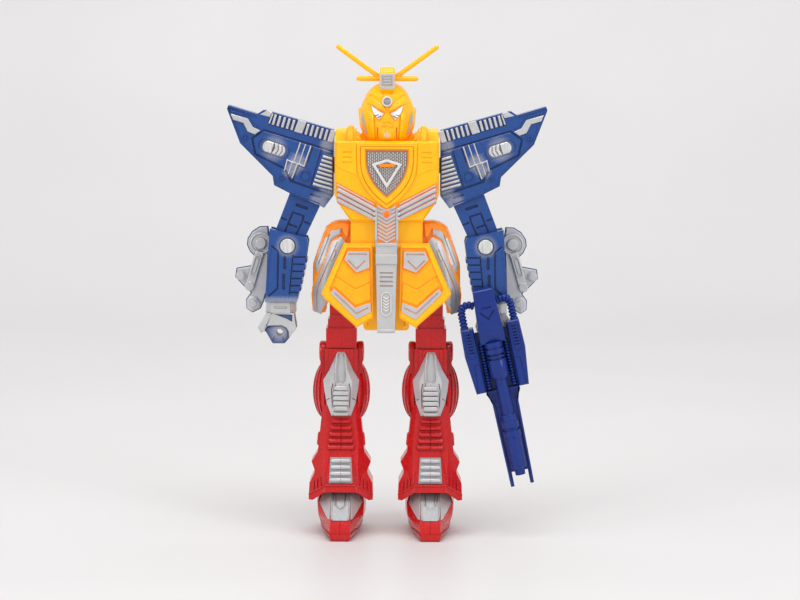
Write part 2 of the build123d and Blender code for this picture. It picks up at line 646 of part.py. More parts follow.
def main():
    os.makedirs("parts", exist_ok=True)
    for name, solid in build().items():
        export_step(Pos(0, BODY_Y, 0) * solid, f"parts/{name}.step")


main()
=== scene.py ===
"""Moulded-plastic toy robot figure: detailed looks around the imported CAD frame.

Shapes are drawn in millimetres about the body's own mid-plane: x to the figure's left, y to its
back, z up. Limbs are drawn for the left side and mirrored for the right.
"""

import math

import bmesh
import bpy
from mathutils import Matrix, Quaternion, Vector


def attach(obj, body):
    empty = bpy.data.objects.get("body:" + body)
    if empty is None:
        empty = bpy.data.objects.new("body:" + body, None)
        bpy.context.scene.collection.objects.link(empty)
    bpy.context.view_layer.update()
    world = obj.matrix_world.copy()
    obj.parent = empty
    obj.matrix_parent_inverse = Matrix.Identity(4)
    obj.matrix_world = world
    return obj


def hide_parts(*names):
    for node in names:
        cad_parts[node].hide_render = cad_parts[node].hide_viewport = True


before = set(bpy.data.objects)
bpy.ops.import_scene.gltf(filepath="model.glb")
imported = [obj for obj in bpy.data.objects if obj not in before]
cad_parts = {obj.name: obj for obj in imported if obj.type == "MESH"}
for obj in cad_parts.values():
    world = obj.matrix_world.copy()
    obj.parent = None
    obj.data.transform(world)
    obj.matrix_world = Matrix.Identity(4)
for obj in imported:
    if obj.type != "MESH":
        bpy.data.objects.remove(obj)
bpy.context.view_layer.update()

MM = 0.001
MID_Y = 5.0          # the body's mid-plane lies this far behind the frame's origin
SIDES = {"left": 1, "right": -1}
PARTING = 0.03       # half of the gap between the two shells of a moulded pair
LEG_X = 22.5         # centre line of a leg
HIP_Z = 128.0        # height of the hip joints
SMOOTH_ANGLE = math.radians(32)


# ---- shape helpers ------------------------------------------------------------------------
def circle(radius, steps, start=0.0):
    """Points of a circle about (0, 0)."""
    turn = 2 * math.pi / steps
    return [(radius * math.cos(start + i * turn), radius * math.sin(start + i * turn)) for i in range(steps)]


def moved(outline, dx, dz):
    return [(x + dx, z + dz) for x, z in outline]


def turned_outline(outline, degrees, about=(0, 0)):
    c, s = math.cos(math.radians(degrees)), math.sin(math.radians(degrees))
    ox, oz = about
    return [(ox + (x - ox) * c - (z - oz) * s, oz + (x - ox) * s + (z - oz) * c) for x, z in outline]


def both(half):
    """Closed outline symmetric about x = 0, from its x >= 0 points, top to bottom."""
    return half + [(-x, z) for x, z in reversed(half) if x > 1e-6]


def rectangle(x0, x1, z0, z1):
    return [(x0, z0), (x1, z0), (x1, z1), (x0, z1)]


def bar(start, end, width):
    """Outline of a straight bar between two points."""
    (x0, z0), (x1, z1) = start, end
    length = math.hypot(x1 - x0, z1 - z0)
    nx, nz = -(z1 - z0) / length * width / 2, (x1 - x0) / length * width / 2
    return [(x0 + nx, z0 + nz), (x1 + nx, z1 + nz), (x1 - nx, z1 - nz), (x0 - nx, z0 - nz)]


def lozenge(start, end, width, steps=6):
    """Outline of a bar with round ends."""
    (x0, z0), (x1, z1) = start, end
    way = math.atan2(z1 - z0, x1 - x0)
    points = []
    for (cx, cz), base in ((start, way + math.pi / 2), (end, way - math.pi / 2)):
        for i in range(steps + 1):
            a = base + math.pi * i / steps
            points.append((cx + width / 2 * math.cos(a), cz + width / 2 * math.sin(a)))
    return points


def path_band(points, width):
    """Outline of a band of constant width along an open zigzag of points."""
    left, right = [], []
    for i, (x, z) in enumerate(points):
        before = points[max(i - 1, 0)]
        after = points[min(i + 1, len(points) - 1)]
        ways = []
        for (ax, az), (bx, bz) in ((before, (x, z)), ((x, z), after)):
            length = math.hypot(bx - ax, bz - az)
            if length > 1e-9:
                ways.append((-(bz - az) / length, (bx - ax) / length))
        nx, nz = sum(w[0] for w in ways) / len(ways), sum(w[1] for w in ways) / len(ways)
        reach = width / 2 / max(nx * nx + nz * nz, 0.2)
        left.append((x + nx * reach, z + nz * reach))
        right.append((x - nx * reach, z - nz * reach))
    return left + right[::-1]


def measures_at(rows, z):
    """Measures at a height, from rows of (height, measures). Beyond both end rows they stay as they are."""
    for (z0, *first), (z1, *second) in zip(rows, rows[1:]):
        t = (z - z0) / (z1 - z0)
        if t <= 1.0:
            break
    t = min(max(t, 0.0), 1.0)
    return [a + (b - a) * t for a, b in zip(first, second)]


def inset(outline, distance):
    """Outline moved inwards by distance at every edge."""
    area = sum(x0 * z1 - x1 * z0 for (x0, z0), (x1, z1) in zip(outline, outline[1:] + outline[:1]))
    turn = 1 if area > 0 else -1
    count = len(outline)
    points = []
    for i, (x, z) in enumerate(outline):
        (ax, az), (bx, bz) = outline[i - 1], outline[(i + 1) % count]
        before, after = math.hypot(x - ax, z - az), math.hypot(bx - x, bz - z)
        n0 = (-(z - az) / before * turn, (x - ax) / before * turn)
        n1 = (-(bz - z) / after * turn, (bx - x) / after * turn)
        mx, mz = n0[0] + n1[0], n0[1] + n1[1]
        scale = 2 * distance / max(mx * mx + mz * mz, 0.5)
        points.append((x + mx * scale, z + mz * scale))
    return points


class Form:
    """A moulded shape in the making."""

    def __init__(self):
        self.mesh = bmesh.new()

    def skin(self, rings):
        """Closed shape through rings of equally many points, with flat ends."""
        rows = [[self.mesh.verts.new(p) for p in ring] for ring in rings]
        count = len(rows[0])
        for low, high in zip(rows, rows[1:]):
            for i in range(count):
                j = (i + 1) % count
                self.mesh.faces.new((low[i], low[j], high[j], high[i]))
        self.mesh.faces.new(rows[0])
        self.mesh.faces.new(rows[-1])
        return self

    def slab(self, outline, front, back, crown=0.0, slope=0.0):
        """Outline in x and z, thick from front to back. crown and slope chamfer the front edge."""
        rings = [[(x, back, z) for x, z in outline]]
        if crown:
            rings.append([(x, front + crown, z) for x, z in outline])
            outline = inset(outline, slope or crown)
        rings.append([(x, front, z) for x, z in outline])
        return self.skin(rings)

    def line(self, points, width, front, back, crown=0.0):
        """Bar of constant width along a zigzag in x and z."""
        return self.slab(path_band(points, width), front, back, crown=crown)

    def box(self, x, y, z):
        return self.slab(rectangle(x[0], x[1], z[0], z[1]), y[0], y[1])

    def stack(self, *sections):
        """Shape through (z, outline in x and y) sections."""
        return self.skin([[(x, y, z) for x, y in outline] for z, outline in sections])

    def lathe(self, profile, start, way, steps=28):
        """Round shape about an axis: profile is (distance along, radius) pairs."""
        way = Vector(way).normalized()
        side = way.orthogonal().normalized()
        up = way.cross(side)
        start = Vector(start)
        return self.skin([
            [start + way * along + side * a + up * b for a, b in circle(radius, steps)]
            for along, radius in profile
        ])

    def pin(self, x, z, radius, front, back, steps=28):
        return self.lathe([(0, radius), (back - front, radius)], (x, front, z), (0, 1, 0), steps)

    def tube(self, points, radius, steps=14):
        """Round rod along points, with rounded ends."""
        points = [Vector(p) for p in points]
        frames = []
        side = None
        for i, point in enumerate(points):
            way = (points[min(i + 1, len(points) - 1)] - points[max(i - 1, 0)]).normalized()
            side = (way.orthogonal() if side is None else side - way * side.dot(way)).normalized()
            frames.append((point, way, side))
        first, last = frames[0], frames[-1]
        ends = [(0.95, 0.3), (0.6, 0.75), (0.0, 1.0)]
        rows = [(first[0] - first[1] * radius * a, first[1], first[2], b) for a, b in ends]
        rows += [(p, w, s, 1.0) for p, w, s in frames[1:-1]]
        rows += [(last[0] + last[1] * radius * a, last[1], last[2], b) for a, b in reversed(ends)]
        return self.skin([
            [p + s * (a * scale) + w.cross(s) * (b * scale) for a, b in circle(radius, steps)]
            for p, w, s, scale in rows
        ])

    def drape(self, edge_a, edge_b, surface, height, depth=1.0, along=8, across=6, roll=0.35):
        """Raised patch between two edges that follows a curved surface y = surface(x, z).

        roll is the share of its height that is rounded away towards the rim."""
        def at(edge, t):
            t *= len(edge) - 1
            i = min(int(t), len(edge) - 2)
            (x0, z0), (x1, z1) = edge[i], edge[i + 1]
            return x0 + (x1 - x0) * (t - i), z0 + (z1 - z0) * (t - i)

        grids = []
        for lift in (height, -depth):
            grid = []
            for i in range(along + 1):
                row = []
                for j in range(across + 1):
                    t, s = i / along, j / across
                    (ax, az), (bx, bz) = at(edge_a, t), at(edge_b, t)
                    x, z = ax + (bx - ax) * s, az + (bz - az) * s
                    rim = min(1.0, 4 * min(s, 1 - s, t, 1 - t))
                    rise = lift * (1 - roll * (1 - rim) ** 2) if lift > 0 else lift
                    row.append(self.mesh.verts.new((x, surface(x, z) - rise, z)))
                grid.append(row)
            grids.append(grid)
        top, bottom = grids
        for grid in grids:
            for i in range(along):
                for j in range(across):
                    self.mesh.faces.new((grid[i][j], grid[i + 1][j], grid[i + 1][j + 1], grid[i][j + 1]))
        rim = [(i, 0) for i in range(along)] + [(along, j) for j in range(across)]
        rim += [(i, across) for i in range(along, 0, -1)] + [(0, j) for j in range(across, 0, -1)]
        for (i, j), (k, l) in zip(rim, rim[1:] + rim[:1]):
            self.mesh.faces.new((top[i][j], top[k][l], bottom[k][l], bottom[i][j]))
        return self

    def shifted(self, matrix):
        """Moves everything drawn so far."""
        bmesh.ops.transform(self.mesh, matrix=matrix, verts=self.mesh.verts)
        return self


def to_object(form, name, side=1):
    """Object with the form's mesh, in the frame's metres, mirrored for the right side."""
    bmesh.ops.recalc_face_normals(form.mesh, faces=form.mesh.faces)
    place = Matrix.Translation((0, MID_Y * MM, 0)) @ Matrix.Diagonal((side * MM, MM, MM, 1))
    form.mesh.transform(place)
    if side < 0:
        bmesh.ops.reverse_faces(form.mesh, faces=form.mesh.faces)
    mesh = bpy.data.meshes.new(name)
    form.mesh.to_mesh(mesh)
    form.mesh.free()
    obj = bpy.data.objects.new(name, mesh)
    bpy.context.scene.collection.objects.link(obj)
    return obj


def carve(obj, cutter):
    """Cuts the cutter's shape out of obj."""
    tool = obj.modifiers.new("carve", "BOOLEAN")
    tool.operation = "DIFFERENCE"
    tool.solver = "EXACT"
    tool.use_self = True
    tool.object = cutter
    graph = bpy.context.evaluated_depsgraph_get()
    carved = bpy.data.meshes.new_from_object(obj.evaluated_get(graph))
    obj.modifiers.clear()
    obj.data = carved
    bpy.data.objects.remove(cutter)


def finish_edges(obj, soften, segments):
    """Smooth shading, with every real edge rounded over."""
    obj.data.shade_smooth()
    obj.data.set_sharp_from_angle(angle=SMOOTH_ANGLE)
    if soften:
        rounding = obj.modifiers.new("edge_rounding", "BEVEL")
        rounding.width = soften * MM
        rounding.segments = segments
        rounding.limit_method = "ANGLE"
        rounding.angle_limit = SMOOTH_ANGLE
        rounding.use_clamp_overlap = True
        rounding.harden_normals = True
        rounding.miter_outer = "MITER_ARC"


def piece(name, body, form, paint, side=1, cut=None, soften=0.25, segments=2,
          face_paint=None, face_y=None, facing=0.7, stands_for=(), place=None):
    """Turns a form into a finished piece.

    cut is a form carved out of it, and place moves both. face_paint goes on faces that look
    forwards and reach as far forwards as face_y, as paint stamped on a raised face does."""
    if place:
        form.shifted(place)
    obj = to_object(form, name, side)
    if cut is not None:
        if place:
            cut.shifted(place)
        carve(obj, to_object(cut, name + "_cutter", side))
    material, slot = paint
    obj.data.materials.clear()
    obj.data.materials.append(material)
    if face_paint:
        obj.data.materials.append(face_paint[0])
        limit = math.inf if face_y is None else (face_y + MID_Y) * MM + 1e-5
        for face in obj.data.polygons:
            face.material_index = int(face.normal.y < -facing and face.center.y < limit)
    finish_edges(obj, soften, segments)
    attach(obj, body)
    if stands_for:
        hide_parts(*stands_for)
    return obj


def side_pieces(name, body, side):
    """piece() for one side: puts the side's name before the piece's and the replaced node's."""
    def add(label, form, paint, stands_for="", **looks):
        nodes = (f"{name}_{stands_for}",) if stands_for else ()
        return piece(f"{name}_{label}", body, form, paint, side=side, stands_for=nodes, **looks)
    return add


# ---- materials ----------------------------------------------------------------------------
def add_node(tree, kind, inputs=None, **settings):
    """Shader node with its settings and inputs; an input is a value or another node's output."""
    node = tree.nodes.new(kind)
    for key, value in settings.items():
        setattr(node, key, value)
    for key, value in (inputs or {}).items():
        if isinstance(value, bpy.types.NodeSocket):
            tree.links.new(value, node.inputs[key])
        else:
            node.inputs[key].default_value = value
    return node


def mix_colour(tree, factor, a, b, blend="MIX"):
    node = add_node(tree, "ShaderNodeMix", data_type="RGBA", blend_type=blend)
    for socket, value in ((node.inputs[0], factor), (node.inputs[6], a), (node.inputs[7], b)):
        if isinstance(value, bpy.types.NodeSocket):
            tree.links.new(value, socket)
        elif isinstance(value, (int, float)):
            socket.default_value = value
        else:
            socket.default_value = (*value, 1)
    return node.outputs[2]


def ranged(tree, value, low, high, to_low=0.0, to_high=1.0, smooth=False):
    node = add_node(tree, "ShaderNodeMapRange", {0: value, 1: low, 2: high, 3: to_low, 4: to_high})
    if smooth:
        node.interpolation_type = "SMOOTHSTEP"
    return node.outputs[0]


def maths(tree, operation, a, b=0.0):
    return add_node(tree, "ShaderNodeMath", {0: a, 1: b}, operation=operation).outputs[0]


def noise(tree, place, scale, detail=3.0, roughness=0.55):
    inputs = {"Vector": place, "Scale": scale, "Detail": detail, "Roughness": roughness}
    return add_node(tree, "ShaderNodeTexNoise", inputs).outputs["Fac"]


def new_material(name):
    material = bpy.data.materials.new(name)
    material.use_nodes = True
    tree = material.node_tree
    place = add_node(tree, "ShaderNodeTexCoord").outputs["Object"]
    return material, tree, tree.nodes["Principled BSDF"], place


def surface_grain(tree, shader, place, strength):
    """Fine unevenness of a moulded or painted surface."""
    height = noise(tree, place, 900, 4)
    bump = add_node(tree, "ShaderNodeBump", {"Strength": strength, "Distance": 0.00003, "Height": height})
    tree.links.new(bump.outputs[0], shader.inputs["Normal"])


def recess_shade(tree, reach):
    """1 on open faces, falling towards 0 in grooves and corners: the mask for painted shade."""
    hidden = add_node(tree, "ShaderNodeAmbientOcclusion", {"Distance": reach * MM}, samples=8)
    return hidden.outputs["AO"]


def spot_mist(tree, place, spots):
    """Soft sprayed spots: 1 at each (x, y, z, radius) in millimetres, fading out with speckle."""
    total = None
    speckle = noise(tree, place, 2600, 2, 0.7)
    axes = add_node(tree, "ShaderNodeSeparateXYZ", {0: place})
    either_side = maths(tree, "ABSOLUTE", axes.outputs["X"])
    place = add_node(tree, "ShaderNodeCombineXYZ",
                     {0: either_side, 1: axes.outputs["Y"], 2: axes.outputs["Z"]}).outputs[0]
    for x, y, z, radius in spots:
        away = add_node(
            tree, "ShaderNodeVectorMath", {0: place, 1: (x * MM, (y + MID_Y) * MM, z * MM)},
            operation="DISTANCE"
        ).outputs["Value"]
        near = ranged(tree, away, radius * MM * 0.35, radius * MM, 1, 0, smooth=True)
        total = near if total is None else maths(tree, "MAXIMUM", total, near)
    grain = ranged(tree, speckle, 0.42, 0.6)
    return maths(tree, "MULTIPLY", total, maths(tree, "MAXIMUM", grain, 0.6))


def silver_colour(tree, place):
    """Slightly mottled aluminium paint."""
    mottle = ranged(tree, noise(tree, place, 160, 2), 0.3, 0.7)
    fleck = ranged(tree, noise(tree, place, 5200, 1), 0.66, 0.76)
    base = mix_colour(tree, mottle, (0.57, 0.57, 0.58), (0.63, 0.63, 0.64))
    return mix_colour(tree, maths(tree, "MULTIPLY", fleck, 0.35), base, (0.4, 0.4, 0.41))


def plastic(name, slot, open_colour, recess_shade_colour, reach=2.5, roughness=0.3, glow=None, scatter=0.0,
            scatter_colour=(1.0, 0.4, 0.1), mist=(), shine=0.35):
    """Glossy moulded plastic with painted shade in its recesses, faintly uneven, with light rub marks; glow
    adds emission, a painted glow on plastic that is no lamp.
    """
    material, tree, shader, place = new_material(name)
    # painted shade: the colour darkens towards the recess shade colour in grooves and corners
    shade = ranged(tree, recess_shade(tree, reach), 0.15, 0.85)
    colour = mix_colour(tree, shade, recess_shade_colour, open_colour)
    cloud = ranged(tree, noise(tree, place, 70, 2), 0.35, 0.65, 0.94, 1.04)
    colour = mix_colour(tree, 1.0, colour, add_node(
        tree, "ShaderNodeCombineColor", {0: cloud, 1: cloud, 2: cloud}).outputs[0], "MULTIPLY")
    rough = ranged(tree, noise(tree, place, 420, 5), 0.35, 0.75, roughness - 0.05, roughness + 0.12)
    if mist:
        amount = spot_mist(tree, place, mist)
        colour = mix_colour(tree, maths(tree, "MULTIPLY", amount, 0.6), colour, silver_colour(tree, place))
        tree.links.new(maths(tree, "MULTIPLY", amount, 0.4), shader.inputs["Metallic"])
    tree.links.new(colour, shader.inputs["Base Color"])
    tree.links.new(rough, shader.inputs["Roughness"])
    shader.inputs["Specular IOR Level"].default_value = shine
    shader.inputs["Coat Weight"].default_value = 0.22
    shader.inputs["Coat Roughness"].default_value = 0.1
    if scatter:
        shader.inputs["Subsurface Weight"].default_value = scatter
        shader.inputs["Subsurface Radius"].default_value = scatter_colour
        shader.inputs["Subsurface Scale"].default_value = 2.0 * MM
    # emission: a painted glow on the yellow and orange plastics, which are no lamp; on the orange lens it is
    # the chest lamp's own light
    if glow:
        shader.inputs["Emission Strength"].default_value = glow
        tree.links.new(colour, shader.inputs["Emission Color"])
    surface_grain(tree, shader, place, 0.25)
    return material, slot


def silver(name, slot, under_and_shade_tint, wear=0.5, base=None, brushed=False):
    """Satin silver paint with worn spots where the plastic under it shows, and painted shade in its recesses
    tinted towards that plastic.
    """
    material, tree, shader, place = new_material(name)
    colour = silver_colour(tree, place)
    if brushed:
        drawn = add_node(tree, "ShaderNodeMapping", {"Vector": place, "Scale": (1800, 1800, 90)}).outputs[0]
        colour = mix_colour(tree, ranged(tree, noise(tree, drawn, 1.0, 2), 0.35, 0.7), colour,
                            (0.86, 0.86, 0.86))
    if base:
        colour = mix_colour(tree, 0.8, colour, base)
    # painted shade: in grooves and corners the silver darkens towards grey mixed with the under colour
    shade = ranged(tree, recess_shade(tree, 1.6), 0.2, 0.9)
    colour = mix_colour(tree, shade, [c * 0.45 + u * 0.35 for c, u in zip((0.4, 0.4, 0.4), under_and_shade_tint)], colour)
    worn = maths(tree, "MULTIPLY", ranged(tree, noise(tree, place, 1500, 3, 0.7), 0.68, 0.78), wear)
    colour = mix_colour(tree, worn, colour, under_and_shade_tint)
    tree.links.new(colour, shader.inputs["Base Color"])
    tree.links.new(ranged(tree, worn, 0, 1, 0.5, 0.0), shader.inputs["Metallic"])
    tree.links.new(ranged(tree, noise(tree, place, 700, 4), 0.3, 0.7, 0.36, 0.48), shader.inputs["Roughness"])
    surface_grain(tree, shader, place, 0.35)
    return material, slot


def metal(name, slot, colour, roughness):
    """Plated steel with fine turning marks."""
    material, tree, shader, place = new_material(name)
    marks = noise(tree, place, 1800, 3)
    tree.links.new(
        mix_colour(tree, ranged(tree, marks, 0.3, 0.7), [c * 0.75 for c in colour], colour),
        shader.inputs["Base Color"],
    )
    shader.inputs["Metallic"].default_value = 1.0
    tree.links.new(ranged(tree, marks, 0.2, 0.8, roughness - 0.08, roughness + 0.1),
                   shader.inputs["Roughness"])
    surface_grain(tree, shader, place, 0.2)
    return material, slot


# Plastic under the silver paint: shown at worn spots, and mixed into the silver's painted shade in recesses.
YELLOW_UNDER_AND_SHADE = (0.9, 0.36, 0.08)
BLUE_UNDER_AND_SHADE = (0.03, 0.06, 0.2)
RED_UNDER_AND_SHADE = (0.4, 0.02, 0.02)

# the yellow and orange plastics carry a small painted glow besides their real scatter
YELLOW = plastic("yellow_plastic", "yellow_plastic", (1.0, 0.49, 0.004), (1.0, 0.33, 0.004), reach=2.6,
                 roughness=0.2, glow=0.12, scatter=0.35, scatter_colour=(1.0, 0.42, 0.06))
# darker copy of the yellow plastic: painted shade for the recessed field and step of the front panels
YELLOW_HALF_SHADED = plastic("yellow_plastic_half_shaded", "yellow_plastic", (1.0, 0.42, 0.003), (1.0, 0.24, 0.0),
                      reach=2.6,
                      roughness=0.26, glow=0.1, scatter=0.35, scatter_colour=(1.0, 0.42, 0.06))
# orange copy of the yellow plastic: painted shade on sides, rims, beds and gaps that lie in shadow
YELLOW_SHADED_ORANGE = plastic("yellow_plastic_shaded_orange", "yellow_plastic", (1.0, 0.27, 0.01), (0.8, 0.14, 0.005), roughness=0.3,
                 glow=0.08, scatter=0.3)
LENS = plastic("orange_lens", "orange_lens", (1.0, 0.13, 0.0), (1.0, 0.08, 0.0), roughness=0.12, glow=0.55)
BLUE = plastic("blue_plastic", "blue_plastic", (0.016, 0.068, 0.27), (0.005, 0.02, 0.12), roughness=0.3)
BLUE_MISTY = plastic("blue_plastic_misted", "blue_plastic", (0.016, 0.068, 0.27), (0.005, 0.02, 0.12),
                     roughness=0.3,
                     mist=[(49.5, -9, 145.8, 7.0)] + [(45.8 + 1.9 * k, -9, 117.6, 3.6) for k in range(8)] + [
                           (46.8, -7.8, 184.4, 4.6), (44.6, -7, 187.5, 6.0), (49.0, -7, 183.0, 4.0),
                           (34.0, -7, 168.0, 6.0), (30.0, -7, 196.0, 4.5), (56.3, -7, 194.3, 8.0),
                           (30.0, -7, 173.0, 5.0)])
BLUE_GREY = plastic("blue_plastic_greyed", "blue_plastic", (0.075, 0.115, 0.26), (0.025, 0.045, 0.13),
                    roughness=0.42, mist=[(53.7, -6.5, 102.5, 6.0)])
GUN_BLUE = plastic("violet_blue_plastic", "violet_blue_plastic", (0.006, 0.029, 0.215), (0.004, 0.016, 0.13),
                   roughness=0.32, shine=0.24)
RED = plastic("red_plastic", "red_plastic", (0.56, 0.007, 0.009), (0.24, 0.002, 0.004), roughness=0.24)
BLACK = plastic("black_plastic", "black_plastic", (0.02, 0.02, 0.022), (0.01, 0.01, 0.01), roughness=0.5)
SILVER_Y = silver("silver_on_yellow", "silver_paint", YELLOW_UNDER_AND_SHADE, wear=0.35)
SILVER_B = silver("silver_on_blue", "silver_paint", BLUE_UNDER_AND_SHADE, wear=0.7)
SILVER_R = silver("silver_on_red", "silver_paint", RED_UNDER_AND_SHADE, wear=0.5)
WHITE_METAL = silver("bright_silver", "silver_paint", (0.8, 0.8, 0.82), wear=0.0, base=(0.86, 0.86, 0.87))
# brown-grey copy of the silver paint: painted shade on the floor between the grille dashes
GRILLE_SHADED_FLOOR = plastic("grille_floor_shaded", "silver_paint", (0.34, 0.27, 0.23), (0.16, 0.11, 0.08), reach=0.6,
                 roughness=0.45)
BRUSHED = silver("brushed_silver", "silver_paint", BLUE_UNDER_AND_SHADE, wear=0.0, brushed=True)
# darker copy of the silver paint: painted shade for the side armour's slanted plates
SILVER_SIDE_SHADED = silver("silver_side_armour_shaded", "silver_paint", YELLOW_UNDER_AND_SHADE, wear=0.3, base=(0.43, 0.43, 0.45))
INSTEP = silver("silver_instep", "silver_paint", RED_UNDER_AND_SHADE, wear=0.3, base=(0.22, 0.23, 0.24))
# dark grey paint: the forehead lamp's lens, and painted shade on the bed between the ankle vent ribs
GREY_LENS_AND_VENT_SHADE = silver("grey_lens_and_vent_shade", "silver_paint", (0.2, 0.2, 0.21), wear=0.0, base=(0.3, 0.31, 0.33))
STEEL = metal("plated_steel", "steel", (0.62, 0.62, 0.63), 0.3)
BOARD = plastic("circuit_board", "circuit_board", (0.02, 0.12, 0.04), (0.01, 0.05, 0.02), roughness=0.4)


# ---- head ---------------------------------------------------------------------------------
HEAD_TOP, HEAD_BOTTOM = 227.5, 198.8
HELMET = [(198.8, 10.4), (200.5, 11.5), (204.5, 13.3), (207.0, 13.95), (210.5, 14.05), (213.0, 13.75),
          (216.4, 12.8), (220.4, 11.1), (223.6, 9.0), (226.0, 6.2), (227.2, 3.0), (227.5, 0.05)]


def head_radius(z):
    """Radius of the helmet at a height, smoothly through the HELMET points."""
    z = min(max(z, HEAD_BOTTOM), HEAD_TOP)
    i = max(k for k in range(len(HELMET) - 1) if HELMET[k][0] <= z)

    def slope(k):
        (za, ra), (zb, rb) = HELMET[max(k - 1, 0)], HELMET[min(k + 1, len(HELMET) - 1)]
        return (rb - ra) / (zb - za)

    (z0, r0), (z1, r1) = HELMET[i], HELMET[i + 1]
    step = z1 - z0
    t = (z - z0) / step
    return (r0 * (2 * t ** 3 - 3 * t ** 2 + 1) + r1 * (3 * t ** 2 - 2 * t ** 3)
            + slope(i) * step * (t ** 3 - 2 * t ** 2 + t) + slope(i + 1) * step * (t ** 3 - t ** 2))


def head_surface(x, z):
    """How far forwards the helmet reaches at x and z."""
    return -math.sqrt(max(head_radius(z) ** 2 - x * x, 1.0))


# Mouldings that follow the helmet on each side of the face: two edges, height, steps along and
# across, how round the height rolls off, paint and softened edge.
FACE = (
    ("brow", [(1.6, 216.0), (6.0, 218.8), (10.2, 221.4)], [(0.4, 212.8), (5.6, 215.3), (9.9, 217.2)],
     1.1, (10, 5), 0.35, YELLOW, 0.2),
    ("crown_panel", [(2.6, 223.6), (6.6, 222.8), (9.6, 220.6)], [(2.2, 218.7), (5.6, 219.9), (9.0, 222.0)],
     0.35, (8, 4), 0.35, YELLOW, 0.1),
    # eye frame in the orange copy of the yellow plastic: painted shade round the eyes
    ("eye_frame", [(0.9, 212.3), (4.6, 214.2), (8.6, 217.2)], [(3.9, 208.2), (5.8, 210.2), (7.6, 213.0)],
     0.25, (8, 5), 0.0, YELLOW_SHADED_ORANGE, 0.05),
    ("eye", [(1.7, 212.0), (4.9, 213.6), (8.0, 216.2)], [(4.1, 209.0), (5.6, 210.7), (7.1, 213.0)],
     0.55, (8, 5), 0.0, WHITE_METAL, 0.08),
    ("eye_line_0", [(2.9, 210.7), (4.6, 209.75)], [(3.15, 211.05), (4.85, 210.1)],
     0.62, (4, 2), 0.0, BLACK, 0.0),
    ("eye_line_1", [(4.15, 211.325), (5.85, 210.8125)], [(4.4, 211.675), (6.1, 211.1625)],
     0.62, (4, 2), 0.0, BLACK, 0.0),
    ("cheek_guard", [(9.7, 214.0), (9.2, 209.0), (8.6, 204.0), (6.9, 199.2)],
     [(6.7, 212.2), (6.5, 207.5), (6.2, 203.0), (5.9, 198.9)], 1.5, (14, 6), 0.6, YELLOW, 0.2),
    ("ear_crescent", [(12.5, 213.0), (12.9, 209.0), (12.1, 204.5), (10.4, 201.0)],
     [(12.3, 213.0), (11.4, 209.0), (10.4, 204.5), (9.3, 201.2)], 0.4, (10, 3), 0.3, SILVER_Y, 0.1),
)


def head_shells():
    zs = [HEAD_BOTTOM + (HEAD_TOP - 0.02 - HEAD_BOTTOM) * (1 - (1 - i / 26) ** 1.5) for i in range(27)]
    for half, low in (("front", math.pi), ("back", 0.0)):
        arc = [low + 0.004 + (math.pi - 0.008) * i / 30 for i in range(31)]
        shell = Form().skin([[(head_radius(z) * math.cos(a), head_radius(z) * math.sin(a), z) for a in arc]
                             for z in zs])
        cut = Form()
        if half == "back":
            for z, width in ((219.5, 7.0), (216.8, 8.0), (214.1, 8.0)):
                cut.box((-width / 2, width / 2), (head_radius(z) - 0.8, 20), (z - 0.55, z + 0.55))
            for side in (-1, 1):
                cut.line([(side * 8.8, 221.5), (side * 7.4, 211.5), (side * 9.2, 203.0)], 0.6, 6, 20)
        else:
            for side in (-1, 1):
                cut.line([(side * 4.8, 205.2), (side * 4.6, 199.5)], 0.5, -20, -8)
        piece(f"head_shell_{half}", "head", shell, YELLOW, cut=cut, soften=0.15,
              stands_for=(f"head_{half}_shell",))


def face():
    for name, side in SIDES.items():
        add = side_pieces(name, "head", side)
        for label, edge_a, edge_b, height, (along, across), roll, paint, soften in FACE:
            form = Form().drape(edge_a, edge_b, head_surface, height, along=along, across=across, roll=roll)
            add(label, form, paint, soften=soften)
        cup = Form().lathe([(0, 5.6), (0.9, 5.4), (1.5, 4.6), (1.1, 3.4), (1.3, 2.6), (1.6, 0.1)],
                           (12.5, 1.5, 209.5), (1, 0, -0.12))
        add("ear_cup", cup, YELLOW, soften=0.15)


def mouth():
    nose = Form()
    for z, width in ((208.6, 2.2), (206.9, 2.5), (205.2, 2.2)):
        nose.drape([(-width, z - 0.55), (0, z + 0.35), (width, z - 0.55)],
                   [(-width, z - 1.15), (0, z - 0.35), (width, z - 1.15)], head_surface, 0.55,
                   along=10, across=3)
    piece("nose_ridges", "head", nose, YELLOW, soften=0.1)
    jaw = Form().drape([(-4.4, 204.6), (0, 205.2), (4.4, 204.6)], [(-3.2, 198.9), (0, 198.9), (3.2, 198.9)],
                       head_surface, 0.9, along=10, across=6, roll=0.5)
    piece("jaw_plate", "head", jaw, YELLOW, soften=0.2)
    vent = Form()
    for x in (-1.0, 0.0, 1.0):
        vent.drape([(x - 0.32, 203.2 - abs(x)), (x - 0.25, 199.9 + abs(x) * 0.6)],
                   [(x + 0.32, 203.2 - abs(x)), (x + 0.25, 199.9 + abs(x) * 0.6)],
                   lambda px, pz: head_surface(px, pz) - 0.85, 0.3, along=4, across=2)
    piece("mouth_vent", "head", vent, WHITE_METAL, soften=0.06)


def forehead_lamp():
    lamp = Form().lathe([(0, 2.55), (3.2, 2.55), (3.55, 2.35), (3.55, 1.8), (3.0, 1.7), (3.0, 0.1)],
                        (0, -11.7, 218.0), (0, -1, 0))
    piece("forehead_lamp_ring", "head", lamp, WHITE_METAL, soften=0.1, stands_for=("forehead_lamp",))
    glass = Form().lathe([(0, 1.7), (0.2, 1.65), (0.45, 1.2), (0.55, 0.1)], (0, -14.65, 218.0), (0, -1, 0))
    piece("forehead_lamp_lens", "head", glass, GREY_LENS_AND_VENT_SHADE, soften=0.05)


